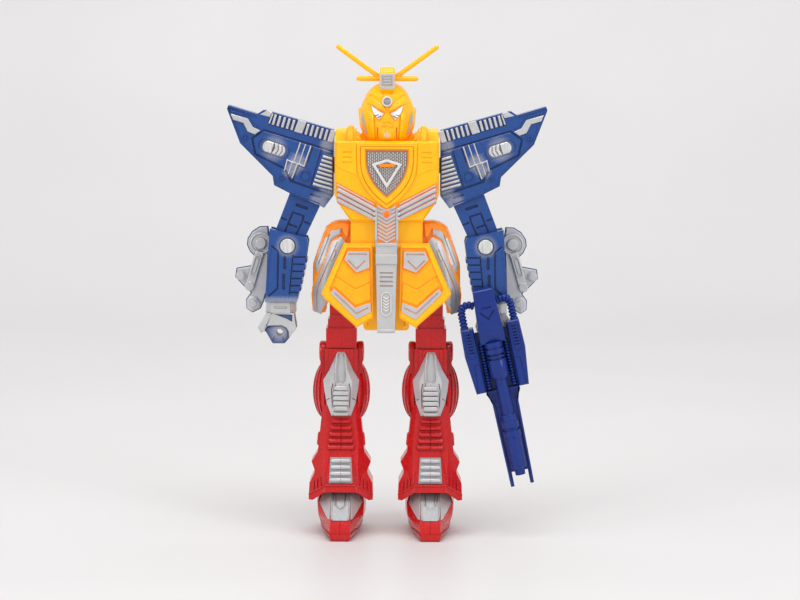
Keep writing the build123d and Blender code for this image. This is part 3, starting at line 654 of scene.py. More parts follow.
def antenna_crest():
    crest = Form().stack(
        (233.2, rounded_plan(3.5, -10.2, 1.2, 1.0)),
        (231.9, rounded_plan(4.0, -11.0, 1.5, 1.0)),
        (229.0, rounded_plan(4.0, -11.8, 1.5, 1.0)),
        (224.4, rounded_plan(3.9, -11.8, 1.5, 1.0)),
        (222.6, rounded_plan(3.6, -9.8, 1.5, 1.0)),
    )
    crest.stack(
        (235.0, rounded_plan(3.0, -6.8, 0.8, 1.0)),
        (234.2, rounded_plan(3.7, -8.0, 1.3, 1.0)),
        (232.0, rounded_plan(3.7, -9.6, 1.3, 1.0)),
    )
    piece("crest_box", "head", crest, YELLOW, soften=0.3, segments=3, stands_for=("antenna_crest",))
    badge = Form().slab(rectangle(-3.6, 3.6, 224.2, 231.7), -12.3, -11.0, crown=0.15)
    recess = Form().slab(rectangle(-2.5, 2.5, 225.6, 230.6), -12.8, -11.85)
    piece("crest_badge", "head", badge, SILVER_Y, cut=recess, soften=0.15)
    bars = Form()
    for z in (226.7, 228.1, 229.5):
        bars.slab(rectangle(-2.0, 2.0, z - 0.36, z + 0.36), -12.25, -11.7)
    piece("crest_badge_bars", "head", bars, SILVER_Y, soften=0.1)
    for name, side in SIDES.items():
        add = side_pieces(name, "head", side)
        rods = Form()
        rods.tube([(2.6, -4.5, 229.0), (9.0, -4.5, 233.5), (17.0, -4.5, 239.3), (24.4, -4.5, 244.8)], 1.25)
        rods.tube([(2.6, -4.7, 229.2), (9.0, -4.7, 229.2), (14.2, -4.7, 229.2)], 1.3)
        add("antennas", rods, YELLOW, soften=0.0)


def head():
    head_shells()
    face()
    mouth()
    forehead_lamp()
    antenna_crest()


def rounded_plan(half_w, front, back, corner, x=0.0):
    """Rectangle in x and y with rounded corners."""
    points = []
    for cx, cy, start in (
        (x + half_w - corner, back - corner, 0), (x - half_w + corner, back - corner, 90),
        (x - half_w + corner, front + corner, 180), (x + half_w - corner, front + corner, 270),
    ):
        for i in range(4):
            a = math.radians(start + 30 * i)
            points.append((cx + corner * math.cos(a), cy + corner * math.sin(a)))
    return points


# ---- torso --------------------------------------------------------------------------------
CHEST_FRONT, CHEST_BACK = -14.0, 14.0
WAIST_FRONT, WAIST_BACK = -11.0, 11.0


def shield_outline(half_w, top, shoulder, tip, power, steps=12):
    """Straight top and sides that curve in to a point at the bottom."""
    half = [(half_w, top)]
    for i in range(steps + 1):
        t = i / steps
        half.append((half_w * (1 - t ** power), shoulder - (shoulder - tip) * t))
    half[-1] = (0.0, tip)
    return both(half)


def ring_slab(form, outer, inner, front, back):
    """Flat frame between two outlines with equally many points."""
    count = len(outer)
    mesh = form.mesh
    rows = [[mesh.verts.new((x, y, z)) for x, z in line] for y in (front, back) for line in (outer, inner)]
    of, inf, ob, inb = rows
    for i in range(count):
        j = (i + 1) % count
        mesh.faces.new((of[i], of[j], inf[j], inf[i]))
        mesh.faces.new((ob[i], ob[j], inb[j], inb[i]))
        mesh.faces.new((of[i], of[j], ob[j], ob[i]))
        mesh.faces.new((inf[i], inf[j], inb[j], inb[i]))
    return form


def encloses(outline, x, z):
    """Whether a point lies inside an outline."""
    crossings = 0
    for (x0, z0), (x1, z1) in zip(outline, outline[1:] + outline[:1]):
        if (z0 > z) != (z1 > z) and x < x0 + (z - z0) * (x1 - x0) / (z1 - z0):
            crossings += 1
    return crossings % 2 == 1


CHEST = both([(0, 198.5), (26, 198.5), (26, 172.2), (24.5, 168), (18, 158.6), (0, 158.6)])
WAIST = rectangle(-18, 18, 144, 162)


def torso_shell(way, face):
    """Chest half from the parting line to its flat face. way is -1 in front and 1 behind."""
    return Form().skin([
        [(x, way * PARTING, z) for x, z in CHEST],
        [(x, face - way * 1.6, z) for x, z in CHEST],
        [(x, face, z) for x, z in inset(CHEST, 1.1)],
    ])


def chest_shell():
    shell = torso_shell(-1, CHEST_FRONT).slab(WAIST, WAIST_FRONT, -PARTING, crown=0.8)
    cut = Form()
    for side in (-1, 1):
        for z in (192.9, 190.4, 187.9):
            cut.slab(lozenge((side * 17.6, z), (side * 21.8, z), 0.55), -20, CHEST_FRONT + 0.45)
    piece("torso_shell_front", "torso", shell, YELLOW, cut=cut, soften=0.5, segments=3,
          stands_for=("torso_front_shell",))


def shield():
    outer = shield_outline(14.9, 196.6, 190.0, 164.9, 2.5)
    middle = shield_outline(12.9, 195.6, 190.0, 167.3, 2.45)
    inner = shield_outline(10.9, 194.6, 190.0, 170.1, 2.3)
    border = ring_slab(Form(), outer, inset(middle, -0.2), -15.0, CHEST_FRONT + 0.5)
    ring_slab(border, middle, inner, -15.55, CHEST_FRONT + 0.5)
    piece("shield_border", "torso", border, YELLOW, soften=0.45, segments=3)
    # the shield rim is painted shade: the orange copy of the yellow plastic
    rim = ring_slab(Form(), inset(inner, -0.1), inset(inner, 0.75), -15.05, CHEST_FRONT + 0.5)
    piece("shield_rim", "torso", rim, YELLOW_SHADED_ORANGE, soften=0.12)
    field = Form().slab(inset(inner, 0.7), -14.5, CHEST_FRONT + 0.5)
    # the floor between the dashes is painted shade
    piece("shield_floor", "torso", field, GRILLE_SHADED_FLOOR, soften=0.1)
    room = inset(inner, 1.25)
    dashes = Form()
    for column in range(-10, 11):
        x = 1.02 * column
        for row in range(18):
            z = 193.2 - 1.42 * row - (0.71 if column % 2 else 0.0)
            if encloses(room, x, z - 0.5) and encloses(room, x, z + 0.5):
                dashes.slab(rectangle(x - 0.37, x + 0.37, z - 0.56, z + 0.56), -15.0, -14.4, crown=0.14)
    piece("shield_mesh", "torso", dashes, SILVER_Y, soften=0.0)

    kite = [(0, 189.6), (7.6, 187.2), (0, 175.0), (-7.6, 187.2)]
    emblem = ring_slab(Form(), kite, inset(kite, 1.35), -15.7, -14.6)
    piece("kite_ring", "torso", emblem, WHITE_METAL, soften=0.3)
    # the bar is painted shade: unpainted yellow plastic in shadow, drawn in the orange copy
    kite_bar = Form().slab([(-4.4, 187.5), (4.4, 187.5), (3.4, 185.6), (-3.4, 185.6)], -15.5, -14.6)
    piece("kite_bar", "torso", kite_bar, YELLOW_SHADED_ORANGE, soften=0.15)


def chest_sides():
    for name, side in SIDES.items():
        add = side_pieces(name, "torso", side)
        crease = Form().slab([(15.1, 198.0), (25.0, 198.0), (25.0, 185.6), (14.7, 181.2)], -14.35, -13.5,
                             crown=0.3)
        lines = Form()
        for z in (192.9, 190.4, 187.9):
            lines.slab(lozenge((17.6, z), (21.8, z), 0.55), -20, CHEST_FRONT + 0.1)
        add("chest_panel", crease, YELLOW, cut=lines, soften=0.2)
        # the bed under the ribs is painted shade in the orange copy
        bands = Form().slab([(25.0, 178.2), (5.3, 167.8), (5.4, 158.6), (24.6, 167.6)], -14.45, -13.0,
                            crown=0.3)
        add("rib_bed", bands, YELLOW_SHADED_ORANGE, soften=0.15)
        ribs = Form()
        ribs.slab(bar((24.6, 176.8), (6.3, 167.0), 0.8), -14.9, -14.0, crown=0.25)
        for k in range(3):
            a = (24.5, 174.6 - 2.6 * k)
            b = (6.4, 165.0 - 2.4 * k)
            ribs.slab(bar(a, b, 1.98), -15.6, -14.0, crown=0.6, slope=0.55)
        # rib sides in the orange copy: painted shade below the silver faces
        add("chest_ribs", ribs, YELLOW_SHADED_ORANGE, soften=0.12, face_paint=SILVER_Y, facing=0.2)
        knobs = Form()
        for k in range(3):
            knobs.lathe([(0, 0.85), (1.7, 0.85), (2.0, 0.5), (2.05, 0.05)], (6.1, -14.0, 164.8 - 2.4 * k),
                        (0, -1, 0), 14)
        add("rib_knobs", knobs, SILVER_Y, soften=0.05)

        block = Form().stack(
            (198.2, rounded_plan(5.4, -9.5, 10.5, 0.8, x=20.4)),
            (203.6, rounded_plan(5.2, -7.6, 10.2, 0.8, x=20.4)),
            (204.5, rounded_plan(4.6, -6.8, 9.6, 0.8, x=20.4)),
        )
        block.stack(
            (198.2, rounded_plan(2.4, -7.5, 9.0, 0.8, x=15.2)),
            (201.2, rounded_plan(1.6, -6.0, 8.0, 0.8, x=15.2)),
            (202.2, rounded_plan(1.2, -5.4, 7.4, 0.8, x=15.2)),
        )
        add("shoulder_block", block, YELLOW, soften=0.4, segments=3)
        ramp = Form().slab([(17.0, 203.4), (15.3, 203.0), (13.9, 202.2), (12.8, 200.2), (11.9, 198.2),
                            (17.0, 198.2)], -4.5, 9.5, crown=0.6)
        ramp.slab([(15.6, 201.2), (13.9, 200.4), (13.0, 198.2), (15.6, 198.2)], -8.0, -4.0, crown=0.6)
        add("collar_ramp", ramp, YELLOW, soften=0.4, segments=3)
        knob = Form().tube([(18.2, -10.4, 204.4), (18.2, 0, 204.4), (18.2, 9.4, 204.4)], 1.65)
        knob.tube([(18.2, -11.2, 197.0), (18.2, -11.2, 200.5), (18.2, -10.6, 204.2)], 1.6)
        add("shoulder_rib", knob, YELLOW, soften=0.0)


def neck_collar():
    collar = Form().lathe([(0, 10.6), (1.0, 10.4), (1.3, 9.6), (1.3, 5.2)], (0, 0, 197.6), (0, 0, 1), 40)
    collar.slab(both([(0, 203.4), (12.2, 203.0), (15.4, 198.2)]), 13.1, 13.95)
    piece("neck_collar", "torso", collar, YELLOW, soften=0.2)


def spine_relief():
    spine = Form().slab(rectangle(-5.6, 5.6, 146.6, 165.4), -14.9, -10.5)
    tip = Form().slab([(-12, 172), (0, 164.5), (12, 172)], -30, 0)
    piece("spine_bed", "torso", spine, SILVER_Y, cut=tip, soften=0.15)
    # orange bed behind the chevrons: painted shade in the gaps
    glow = Form().slab(rectangle(-4.4, 4.4, 147.0, 158.4), -15.05, -14.0)
    piece("spine_shade_bed", "torso", glow, YELLOW_SHADED_ORANGE, soften=0.1)
    rails = Form()
    for side in (-1, 1):
        rails.slab([(side * 4.6, 149.4), (side * 5.8, 149.4), (side * 5.8, 165.8), (side * 4.6, 165.2)],
                   -15.6, -14.5, crown=0.2)
    piece("spine_rails", "torso", rails, SILVER_Y, soften=0.12)
    chevrons = Form()
    for k in range(9):
        z = 166.0 - 1.9 * k
        arms = [(-4.5, z + 0.2), (0, z - 2.5), (4.5, z + 0.2)]
        if abs(z - 2.0 - 162.5) < 2.2:
            for side in (-1, 1):
                chevrons.line([(side * 4.5, z + 0.2), (side * 2.1, z - 1.25)], 1.15, -15.5,
                              -14.5, crown=0.35)
        else:
            chevrons.line(arms, 1.2, -15.5, -14.5, crown=0.35)
    # chevron sides in the orange copy: painted shade below the silver faces
    piece("spine_chevrons", "torso", chevrons, YELLOW_SHADED_ORANGE, soften=0.08, face_paint=SILVER_Y, facing=0.3)


def chest_lamp():
    dome = Form().lathe([(0, 1.6), (8.9, 1.6), (9.5, 1.4), (9.9, 0.85), (10.05, 0.1)], (0, -6.0, 162.5),
                        (0, -1, 0))
    piece("chest_lamp_dome", "torso", dome, LENS, soften=0.0, stands_for=("chest_lamp",))


def torso_front():
    chest_shell()
    shield()
    chest_sides()
    neck_collar()
    spine_relief()
    chest_lamp()


def torso_back():
    shell = torso_shell(1, CHEST_BACK).slab(WAIST, PARTING, WAIST_BACK)
    cut = Form()
    cut.box((-11.2, 11.2), (12.0, 20), (160.8, 180.2))
    for x in (-20.0, 20.0):
        cut.pin(x, 174.0, 2.4, 10.8, 20)
    cut.box((-3.6, 3.6), (8.6, 13), (149.8, 152.2))
    for side in (-1, 1):
        for z in (193.0, 190.6, 188.2, 185.8):
            cut.slab(lozenge((side * 8.0, z), (side * 20.0, z + 1.4), 0.7), 13.3, 20)
        cut.line([(side * 25.0, 183.5), (side * 15.0, 183.5), (side * 14.0, 160.0)], 0.6, 13.4, 20)
    piece("torso_shell_back", "torso", shell, YELLOW, cut=cut, soften=0.5, segments=3,
          stands_for=("torso_back_shell",))
    door = Form().box((-11.0, 11.0), (12.1, 14.0), (161.0, 180.0))
    marks = Form().pin(0, 163.5, 2.4, 12.8, 20)
    for k in range(4):
        marks.slab(lozenge((-7.0, 168.5 + 2.4 * k), (7.0, 168.5 + 2.4 * k), 0.8), 13.4, 20)
    piece("battery_cover", "torso", door, YELLOW, cut=marks, soften=0.3, stands_for=("battery_door",))
    screw_head("battery_cover_screw", "torso", (0, 13.8, 163.5), (0, 1, 0), 1.9, ("battery_door_screw",))
    pack = Form()
    for side in (-1, 1):
        pack.stack(
            (196.0, rounded_plan(4.4, 12.0, 16.0, 1.2, x=side * 18.6)),
            (194.8, rounded_plan(5.2, 12.0, 17.4, 1.2, x=side * 18.6)),
            (186.0, rounded_plan(5.2, 12.0, 17.4, 1.2, x=side * 18.6)),
            (184.6, rounded_plan(4.4, 12.0, 16.0, 1.2, x=side * 18.6)),
        )
    slats = Form()
    for side in (-1, 1):
        for k in range(4):
            z = 193.4 - 2.1 * k
            slats.box((side * 18.6 - 3.6, side * 18.6 + 3.6), (16.7, 20), (z - 0.4, z + 0.4))
    piece("back_vents", "torso", pack, YELLOW, cut=slats, soften=0.4, segments=3)
    knob = Form().box((-2.5, -0.7), (8.4, 12.1), (150.1, 151.9))
    grips = Form()
    for x in (-2.05, -1.6, -1.15):
        grips.box((x - 0.1, x + 0.1), (11.8, 13), (149, 153))
    piece("slide_switch_knob", "switch", knob, BLACK, cut=grips, soften=0.1,
          stands_for=("power_switch_knob",))
    grille_slots = Form().slab(rectangle(-7.5, 7.5, 152.9, 157.6), 10.2, 11.6, crown=0.2)
    piece("switch_label_panel", "torso", grille_slots, YELLOW, soften=0.2)


def screw_head(name, body, place, way, radius, stands_for=()):
    """Round screw head with a cross recess."""
    way = Vector(way)
    start = Vector(place) - way * 1.0
    form = Form().lathe([(0, radius), (0.7, radius), (1.0, radius * 0.8), (1.0, 0.05)], start, way, 24)
    cut = Form()
    side = way.orthogonal().normalized()
    for arm in (side, way.cross(side)):
        across = way.cross(arm)
        corners = [arm * a * radius * 0.62 + across * b * 0.28
                   for a, b in ((-1, -1), (1, -1), (1, 1), (-1, 1))]
        cut.skin([[Vector(place) - way * 0.5 + c for c in corners],
                  [Vector(place) + way + c for c in corners]])
    piece(name, body, form, STEEL, cut=cut, soften=0.06, stands_for=stands_for)


# ---- waist armour -------------------------------------------------------------------------
SKIRT_TOP = 147.6
FRONT_LEAN = (Matrix.Translation((0, -11.6, SKIRT_TOP)) @ Matrix.Rotation(math.radians(-7), 4, "X")
              @ Matrix.Translation((0, 0, -SKIRT_TOP)))
BACK_LEAN = (Matrix.Translation((0, 11.6, SKIRT_TOP)) @ Matrix.Rotation(math.radians(5), 4, "X")
             @ Matrix.Translation((0, 0, -SKIRT_TOP)))


def front_skirt():
    panel = [(7.0, SKIRT_TOP), (21.2, SKIRT_TOP), (32.4, 122.4), (30.4, 119.4), (14.6, 105.5), (6.6, 110.4)]
    well = [(7.9, 145.2), (19.6, 145.2), (28.4, 124.6), (26.9, 121.6), (14.7, 109.9), (7.2, 114.2)]
    for name, side in SIDES.items():
        add = side_pieces(name, "torso", side)
        form = Form().slab(panel, -1.4, 0.0)
        ring_slab(form, panel, inset(panel, 0.9), -1.9, -0.4)
        ring_slab(form, inset(panel, 0.8), well, -2.6, -0.4)
        add("front_panel", form, YELLOW, soften=0.3, segments=3, place=FRONT_LEAN)
        # field and step take the darker yellow copy: painted shade inside the panel's well
        field = Form().slab(inset(well, -0.2), -1.75, -0.8)
        crease = Form().line([(27.0, 132.2), (15.2, 124.7), (7.0, 128.5)], 0.5, -3, -1.35)
        add("panel_field", field, YELLOW_HALF_SHADED, cut=crease, soften=0.12, place=FRONT_LEAN)
        step = Form().slab([(24.2, 130.5), (15.2, 124.4), (8.0, 127.7), (7.7, 119.2), (15.3, 116.4),
                            (26.3, 126.2)], -2.15, -1.0, crown=0.3)
        step.shifted(FRONT_LEAN)
        add("panel_step", step, YELLOW_HALF_SHADED, soften=0.12)
        gem = Form().slab([(8.4, 143.6), (19.4, 143.6), (21.2, 139.2), (14.9, 132.5), (8.3, 135.0)],
                          -2.9, -1.0, crown=0.35)
        marks = Form().slab(bar((9.8, 141.9), (18.8, 141.9), 0.8), -4, -2.4)
        marks.line([(10.6, 138.7), (14.8, 134.6), (19.0, 138.9)], 0.7, -4, -2.4)
        # plate sides in the orange copy: painted shade below the stamped silver face
        add("panel_plate", gem, YELLOW_SHADED_ORANGE,
            cut=marks, soften=0.12, face_paint=SILVER_Y, face_y=-12.5, facing=0.9, place=FRONT_LEAN)
        band = Form().slab([(26.3, 125.4), (15.2, 115.5), (7.6, 118.4), (7.4, 113.2), (14.6, 109.2),
                            (28.0, 122.4)], -2.9, -1.0, crown=0.3)
        line = Form().line([(25.6, 122.7), (14.8, 112.4), (9.0, 115.3)], 0.7, -4, -2.45)
        # band sides in the orange copy: painted shade below the stamped silver face
        add("panel_chevron", band, YELLOW_SHADED_ORANGE,
            cut=line, soften=0.12, face_paint=SILVER_Y, facing=0.9, place=FRONT_LEAN)
    lip = Form().box((-21.2, 21.2), (-13.4, -11.0), (145.7, 147.5))
    piece("front_skirt_lip", "torso", lip, YELLOW, soften=0.3, stands_for=("front_skirt",))

    belt = Form().slab(both([(0, 147.4), (5.4, 147.4), (4.35, 102.8)]), -3.9, -0.6, crown=0.25)
    belt.slab(both([(0, 141.8), (5.45, 141.8), (5.3, 137.0)]), -4.6, -3.0, crown=0.25)
    belt.slab(both([(0, 104.6), (4.5, 104.6), (4.45, 103.1)]), -4.3, -3.0, crown=0.2)
    holes = Form()
    for z in (132.7, 130.6, 128.4, 126.2):
        holes.slab(lozenge((-2.9, z), (2.9, z), 0.75), -6, -3.3)
    piece("belt_plate", "torso", belt, SILVER_Y, cut=holes, soften=0.15, place=FRONT_LEAN)
    oval = ring_slab(Form(), lozenge((0, 120.7), (0, 113.9), 5.2, 10),
                     lozenge((0, 120.7), (0, 113.9), 4.1, 10), -4.35, -3.6)
    for z in (120.4, 118.9, 117.4, 115.9, 114.4):
        oval.line([(-1.6, z + 0.5), (0, z - 0.7), (1.6, z + 0.5)], 0.75, -4.3, -3.6, crown=0.15)
    piece("belt_oval_relief", "torso", oval, WHITE_METAL, soften=0.1, place=FRONT_LEAN)
    head_bar = Form().slab(both([(0, 147.6), (5.0, 147.6), (4.9, 146.0)]), -4.35, -3.4, crown=0.2)
    piece("belt_top_bar", "torso", head_bar, SILVER_Y, soften=0.12, place=FRONT_LEAN)


# Side armour: height, inner x, outer x, half depth and corner cut.
SIDE_RINGS = [(157.0, 18.4, 28.0, 7.0, 2.0), (155.0, 19.2, 30.6, 8.0, 3.0), (137.0, 28.8, 36.8, 9.4, 4.5),
              (124.0, 31.8, 37.0, 9.4, 4.5), (112.2, 32.6, 36.2, 6.5, 3.0)]


def side_front(x, z):
    """Front face of the side armour: flat inside, slanting back towards its outer edge."""
    inner, outer, half_y, corner = measures_at(SIDE_RINGS, z)
    return -half_y + max(0.0, x - inner) * corner / (outer - inner)


def draped_slab(form, outline, surface, height, depth):
    """Flat plate laid on a surface: every corner is set out from it."""
    return form.skin([[(x, surface(x, z) + depth, z) for x, z in outline],
                      [(x, surface(x, z) - height, z) for x, z in outline]])


def side_skirt(name, side):
    add = side_pieces(name, "torso", side)
    shell = Form()
    for z0, z1 in zip(SIDE_RINGS, SIDE_RINGS[1:]):
        sections = []
        for z, inner, outer, half_y, corner in (z0, z1):
            thick = 2.2
            ring = [(inner, -half_y), (outer, corner - half_y), (outer, half_y - corner), (inner, half_y)]
            back = [(inner - thick, half_y - 0.3), (outer - thick, half_y - corner - 0.3),
                    (outer - thick, corner - half_y + 0.3), (inner - thick, -half_y + 0.3)]
            sections.append((z, ring + back))
        shell.stack(*sections)
    shell.stack((155.8, rounded_plan(5.0, -6.6, 6.6, 0.8, x=23.2)),
                (157.6, rounded_plan(4.4, -6.0, 6.0, 0.8, x=22.6)),
                (158.4, rounded_plan(2.4, -5.0, 5.0, 0.8, x=21.4)))
    shell.box((18, 30.0), (-4, 4), (147.5, 150.5))
    shell.slab([(17.5, 146.9), (22.6, 146.9), (22.9, 149.6), (20.9, 151.4), (20.2, 156.2), (17.5, 156.2)],
               -7.7, -5.9)
    # shell in the orange copy of the yellow plastic: painted shade on the side armour
    add("side_armour", shell, YELLOW_SHADED_ORANGE, soften=0.2, stands_for="side_skirt")

    cap = Form()
    draped_slab(cap, [(18.6, 156.8), (22.3, 157.6), (28.8, 155.6), (31.0, 149.9), (29.4, 150.2),
                      (27.8, 153.4), (22.6, 154.8), (20.6, 150.8), (19.4, 150.8)], side_front, 1.1, 1.0)
    # cap in the orange copy: painted shade
    add("armour_cap", cap, YELLOW_SHADED_ORANGE, soften=0.35, segments=3)
    plates = {
        "upper": (0.0, [(22.9, 155.0), (29.9, 153.2), (30.8, 149.9), (36.2, 136.5), (34.8, 132.1)],
                  [(23.3, 152.2), (27.6, 149.0), (28.5, 146.5), (31.2, 138.2), (34.2, 132.0)],
                  [(28.6, 151.6), (29.3, 149.2), (34.2, 136.6)]),
        "lower": (0.9, [(22.6, 150.6), (27.0, 148.2), (30.8, 138.3), (36.0, 126.2), (37.1, 121.0),
                        (36.4, 112.5)],
                  [(20.4, 147.4), (22.2, 143.5), (25.3, 136.5), (30.0, 124.5), (29.8, 117.8), (33.2, 111.8)],
                  [(24.4, 148.0), (28.9, 138.0), (34.0, 126.0), (34.9, 121.0), (34.7, 113.4)]),
    }
    for part, (rise, outer, inner, line) in plates.items():
        def surface(x, z):
            return side_front(x, z) - rise

        rim = Form().drape([(x + 0.65, z + 0.4) for x, z in outer], [(x - 0.65, z - 0.4) for x, z in inner],
                           surface, 0.35, 1.1, along=24, across=4, roll=0.0)
        # rims in the orange copy: painted shade round the silver plates
        add(f"armour_{part}_rim", rim, YELLOW_SHADED_ORANGE, soften=0.12)
        plate = Form().drape(outer, inner, surface, 0.85, 1.0, along=24, across=6, roll=0.25)
        groove = draped_slab(Form(), path_band(line, 0.42), surface, 3.0, -0.45)
        if part == "lower":
            draped_slab(groove, lozenge((25.6, 143.4), (27.4, 139.2), 1.7), surface, 3.0, -0.4)
        # plates in the darker silver copy: painted shade
        add(f"armour_{part}_plate", plate, SILVER_SIDE_SHADED, cut=groove, soften=0.1)
    stud = draped_slab(Form(), lozenge((25.8, 143.0), (27.2, 139.6), 0.9), surface, 0.85, -0.2)
    add("armour_stud", stud, SILVER_Y, soften=0.15)
    tab = Form()
    draped_slab(tab, [(33.6, 132.2), (34.8, 132.0), (37.5, 124.4), (37.0, 122.4), (35.6, 124.6)],
                side_front, 0.3, 1.2)
    add("armour_tab", tab, YELLOW, soften=0.2)
    flank = Form()
    for z0, z1 in ((153.0, 139.0), (136.0, 125.4), (123.0, 114.5)):
        rows = []
        for z in (z0, z1):
            _, outer, half_y, corner = measures_at(SIDE_RINGS, z)
            reach = half_y - corner - 0.9
            rows.append([(outer - 0.8, -reach, z), (outer + 0.1, -reach, z), (outer + 0.1, reach, z),
                         (outer - 0.8, reach, z)])
        flank.skin(rows)
    # flank in the darker silver copy: painted shade
    add("armour_flank", flank, SILVER_SIDE_SHADED, soften=0.3)


def back_skirt():
    outline = both([(0, SKIRT_TOP), (20.5, SKIRT_TOP), (26.5, 122.0), (20.0, 112.0), (0, 108.0)])
    inner = inset(outline, 2.0)
    plate = Form().slab(outline, 0.0, 1.5)
    ring_slab(plate, outline, inner, 0.4, 2.2)
    cut = Form()
    for side in (-1, 1):
        cut.line([(side * 9.0, 145.5), (side * 10.5, 112.0)], 0.6, 1.1, 5)
        cut.line([(side * 10.2, 128.6), (side * 17.2, 124.6), (side * 23.8, 129.8)], 0.6, 1.1, 5)
    piece("back_skirt_panel", "torso", plate, YELLOW, cut=cut, soften=0.3,
          stands_for=("back_skirt",), place=BACK_LEAN)
    reliefs = Form()
    for side in (-1, 1):
        for z in (141.5, 139.0, 136.5, 134.0):
            reliefs.slab(lozenge((side * 12.2, z), (side * 19.4, z), 1.2), 1.3, 2.1)
    reliefs.slab(both([(0, 143.6), (5.4, 143.6), (6.8, 118.0), (0, 113.6)]), 1.2, 2.3)
    piece("back_skirt_relief", "torso", reliefs, YELLOW, soften=0.25, place=BACK_LEAN)
    lip = Form().box((-20.4, 20.4), (11.0, 13.5), (145.5, 147.5))
    piece("back_skirt_lip", "torso", lip, YELLOW, soften=0.3)


def pelvis():
    block = Form().slab(both([(0, 144), (16.5, 144), (11.5, 138.0), (11.5, 105.0), (10.6, 103.5)]), -8.5, 9.0)
    cut = Form()
    for side in (-1, 1):
        cut.line([(side * 9.2, 137.0), (side * 9.2, 106.0)], 0.6, -12, -7.9)
        cut.line([(side * 9.2, 137.0), (side * 9.2, 106.0)], 0.6, 8.4, 12)
    for side in (-1, 1):
        cut.lathe([(0, 3.1), (8, 3.1)], (side * 10.2, 0, HIP_Z), (side, 0, 0))
    piece("pelvis_cover", "torso", block, YELLOW, cut=cut, soften=0.5, segments=3,
          stands_for=("pelvis_block",))


# ---- arms (drawn for the left, at +x) -----------------------------------------------------
WING = [
    (26.7, 203.7), (57.0, 212.3), (61.5, 213.4), (64.7, 211.4), (79.0, 215.7),
    (79.7, 213.8), (73.2, 196.8), (57.0, 180.6), (56.3, 176.0), (48.4, 172.0),
    (34.1, 166.2), (31.3, 164.8), (26.7, 171.0),
]
WING_PANEL = [(26.9, 193.0), (61.5, 203.5), (67.2, 199.3), (65.6, 191.5), (50.7, 184.1), (48.1, 178.2),
              (26.9, 170.9)]
UPPER_ARM = [(48.5, 175.0), (33.6, 169.0), (33.6, 165.4), (41.3, 149.0), (49.5, 143.8), (56.6, 151.0),
             (48.5, 172.1)]
FOREARM = [(58.4, 154.4), (39.9, 150.0), (39.2, 147.6), (41.2, 133.7), (44.8, 117.6), (60.85, 117.6),
           (60.0, 130.0)]
WING_SCREWS = ((44.0, 198.0), (62.0, 200.0))
ELBOW = (49.5, 145.8)
BAND_TILT = 15.9
WING_DEPTH, BLADE_DEPTH, FOREARM_DEPTH = 7.0, 5.0, 9.2   # half thicknesses


def band_point(u, v):
    """Point u along the wing's top band and v above its lower edge."""
    return turned_outline([(27.0 + u, 197.2 + v)], BAND_TILT, (27.0, 197.2))[0]


def band_box(u0, u1, v0, v1, lean=0.0):
    return [band_point(u0, v0), band_point(u1, v0), band_point(u1 - lean, v1), band_point(u0 - lean, v1)]


def wing_face(form, front, back, cut_depth):
    """Wing shell between y = front and y = back, and the grooves cut in its front or back face."""
    form.slab(WING, front, back)
    grooves = Form()
    low, high = cut_depth
    grooves.line(WING_PANEL[:1] + [(61.5, 203.5)], 0.95, low, high)
    grooves.line([(61.3, 203.4)] + WING_PANEL[2:], 0.95, low, high)
    return grooves


def wing_front(add):
    shell = Form()
    cut = wing_face(shell, -WING_DEPTH, -PARTING, (-12, -6.2))
    cut.slab(band_box(0.2, 33.6, 0.0, 5.6), -12, -6.4)
    cut.slab(lozenge((33.6, 170.3), (37.7, 171.5), 1.2), -12, -6.1)
    add("wing_front", shell, BLUE_MISTY, cut=cut, soften=0.3, segments=3, stands_for="shoulder_front")
    rim = [WING[i] for i in (3, 4, 5, 6, 7, 8, 9, 10)]
    lines = Form().line([(x - (0.9 if i > 1 else -0.4), z - (0.9 if i < 2 else -0.6))
                         for i, (x, z) in enumerate(rim)], 0.5, -7.4, -6.8, crown=0.15)
    add("wing_rim", lines, BLUE, soften=0.12)
    panel = Form().slab(inset(WING_PANEL, 0.5), -7.5, -6.5, crown=0.3)
    lines = Form().line([(32.6, 194.0), (38.1, 175.6)], 0.7, -12, -6.9)
    lines.line([(36.9, 195.2), (40.6, 184.6), (43.9, 186.0), (47.0, 178.6)], 0.7, -12, -6.8)
    lines.slab(lozenge((52.1, 192.9), (60.5, 195.7), 7.2, 12), -12, -6.8)
    add("wing_panel", panel, BLUE_MISTY, cut=lines, soften=0.15)


def wing_bolt(add):
    bolt = Form().slab([(38.0, 195.9), (41.5, 185.7), (44.6, 187.1), (47.8, 179.3), (51.2, 185.4),
                        (48.4, 192.9), (45.6, 191.6), (43.2, 197.3)], -7.85, -7.0, crown=0.3)
    add("wing_bolt", bolt, BLUE_MISTY, soften=0.12)
    edges = Form()
    for x, z, width in ((0.0, 0.0, 0.75), (2.6, 0.9, 0.6), (5.2, 1.7, 0.7)):
        edges.line([(37.9 + x, 195.7 + z), (41.4 + x, 185.6 + z), (44.5 + x, 187.0 + z),
                    (47.4 + x * 0.7, 179.6 + z * 2.2)], width, -8.2, -7.2, crown=0.2)
    add("wing_bolt_edges", edges, SILVER_B, soften=0.1)
    rings = Form()
    for x, z, r in ((40.6, 180.6, 2.9), (70.6, 199.6, 1.7), (52.5, 179.4, 1.7)):
        front = -7.9 if r > 2 else -7.4
        ring_slab(rings, moved(circle(r, 24), x, z), moved(circle(r - 0.5, 24), x, z), front, -6.5)
        rings.pin(x, z, r - 1.1, front + 0.1, -6.5, 24)
    add("wing_rings", rings, BLUE, soften=0.12)


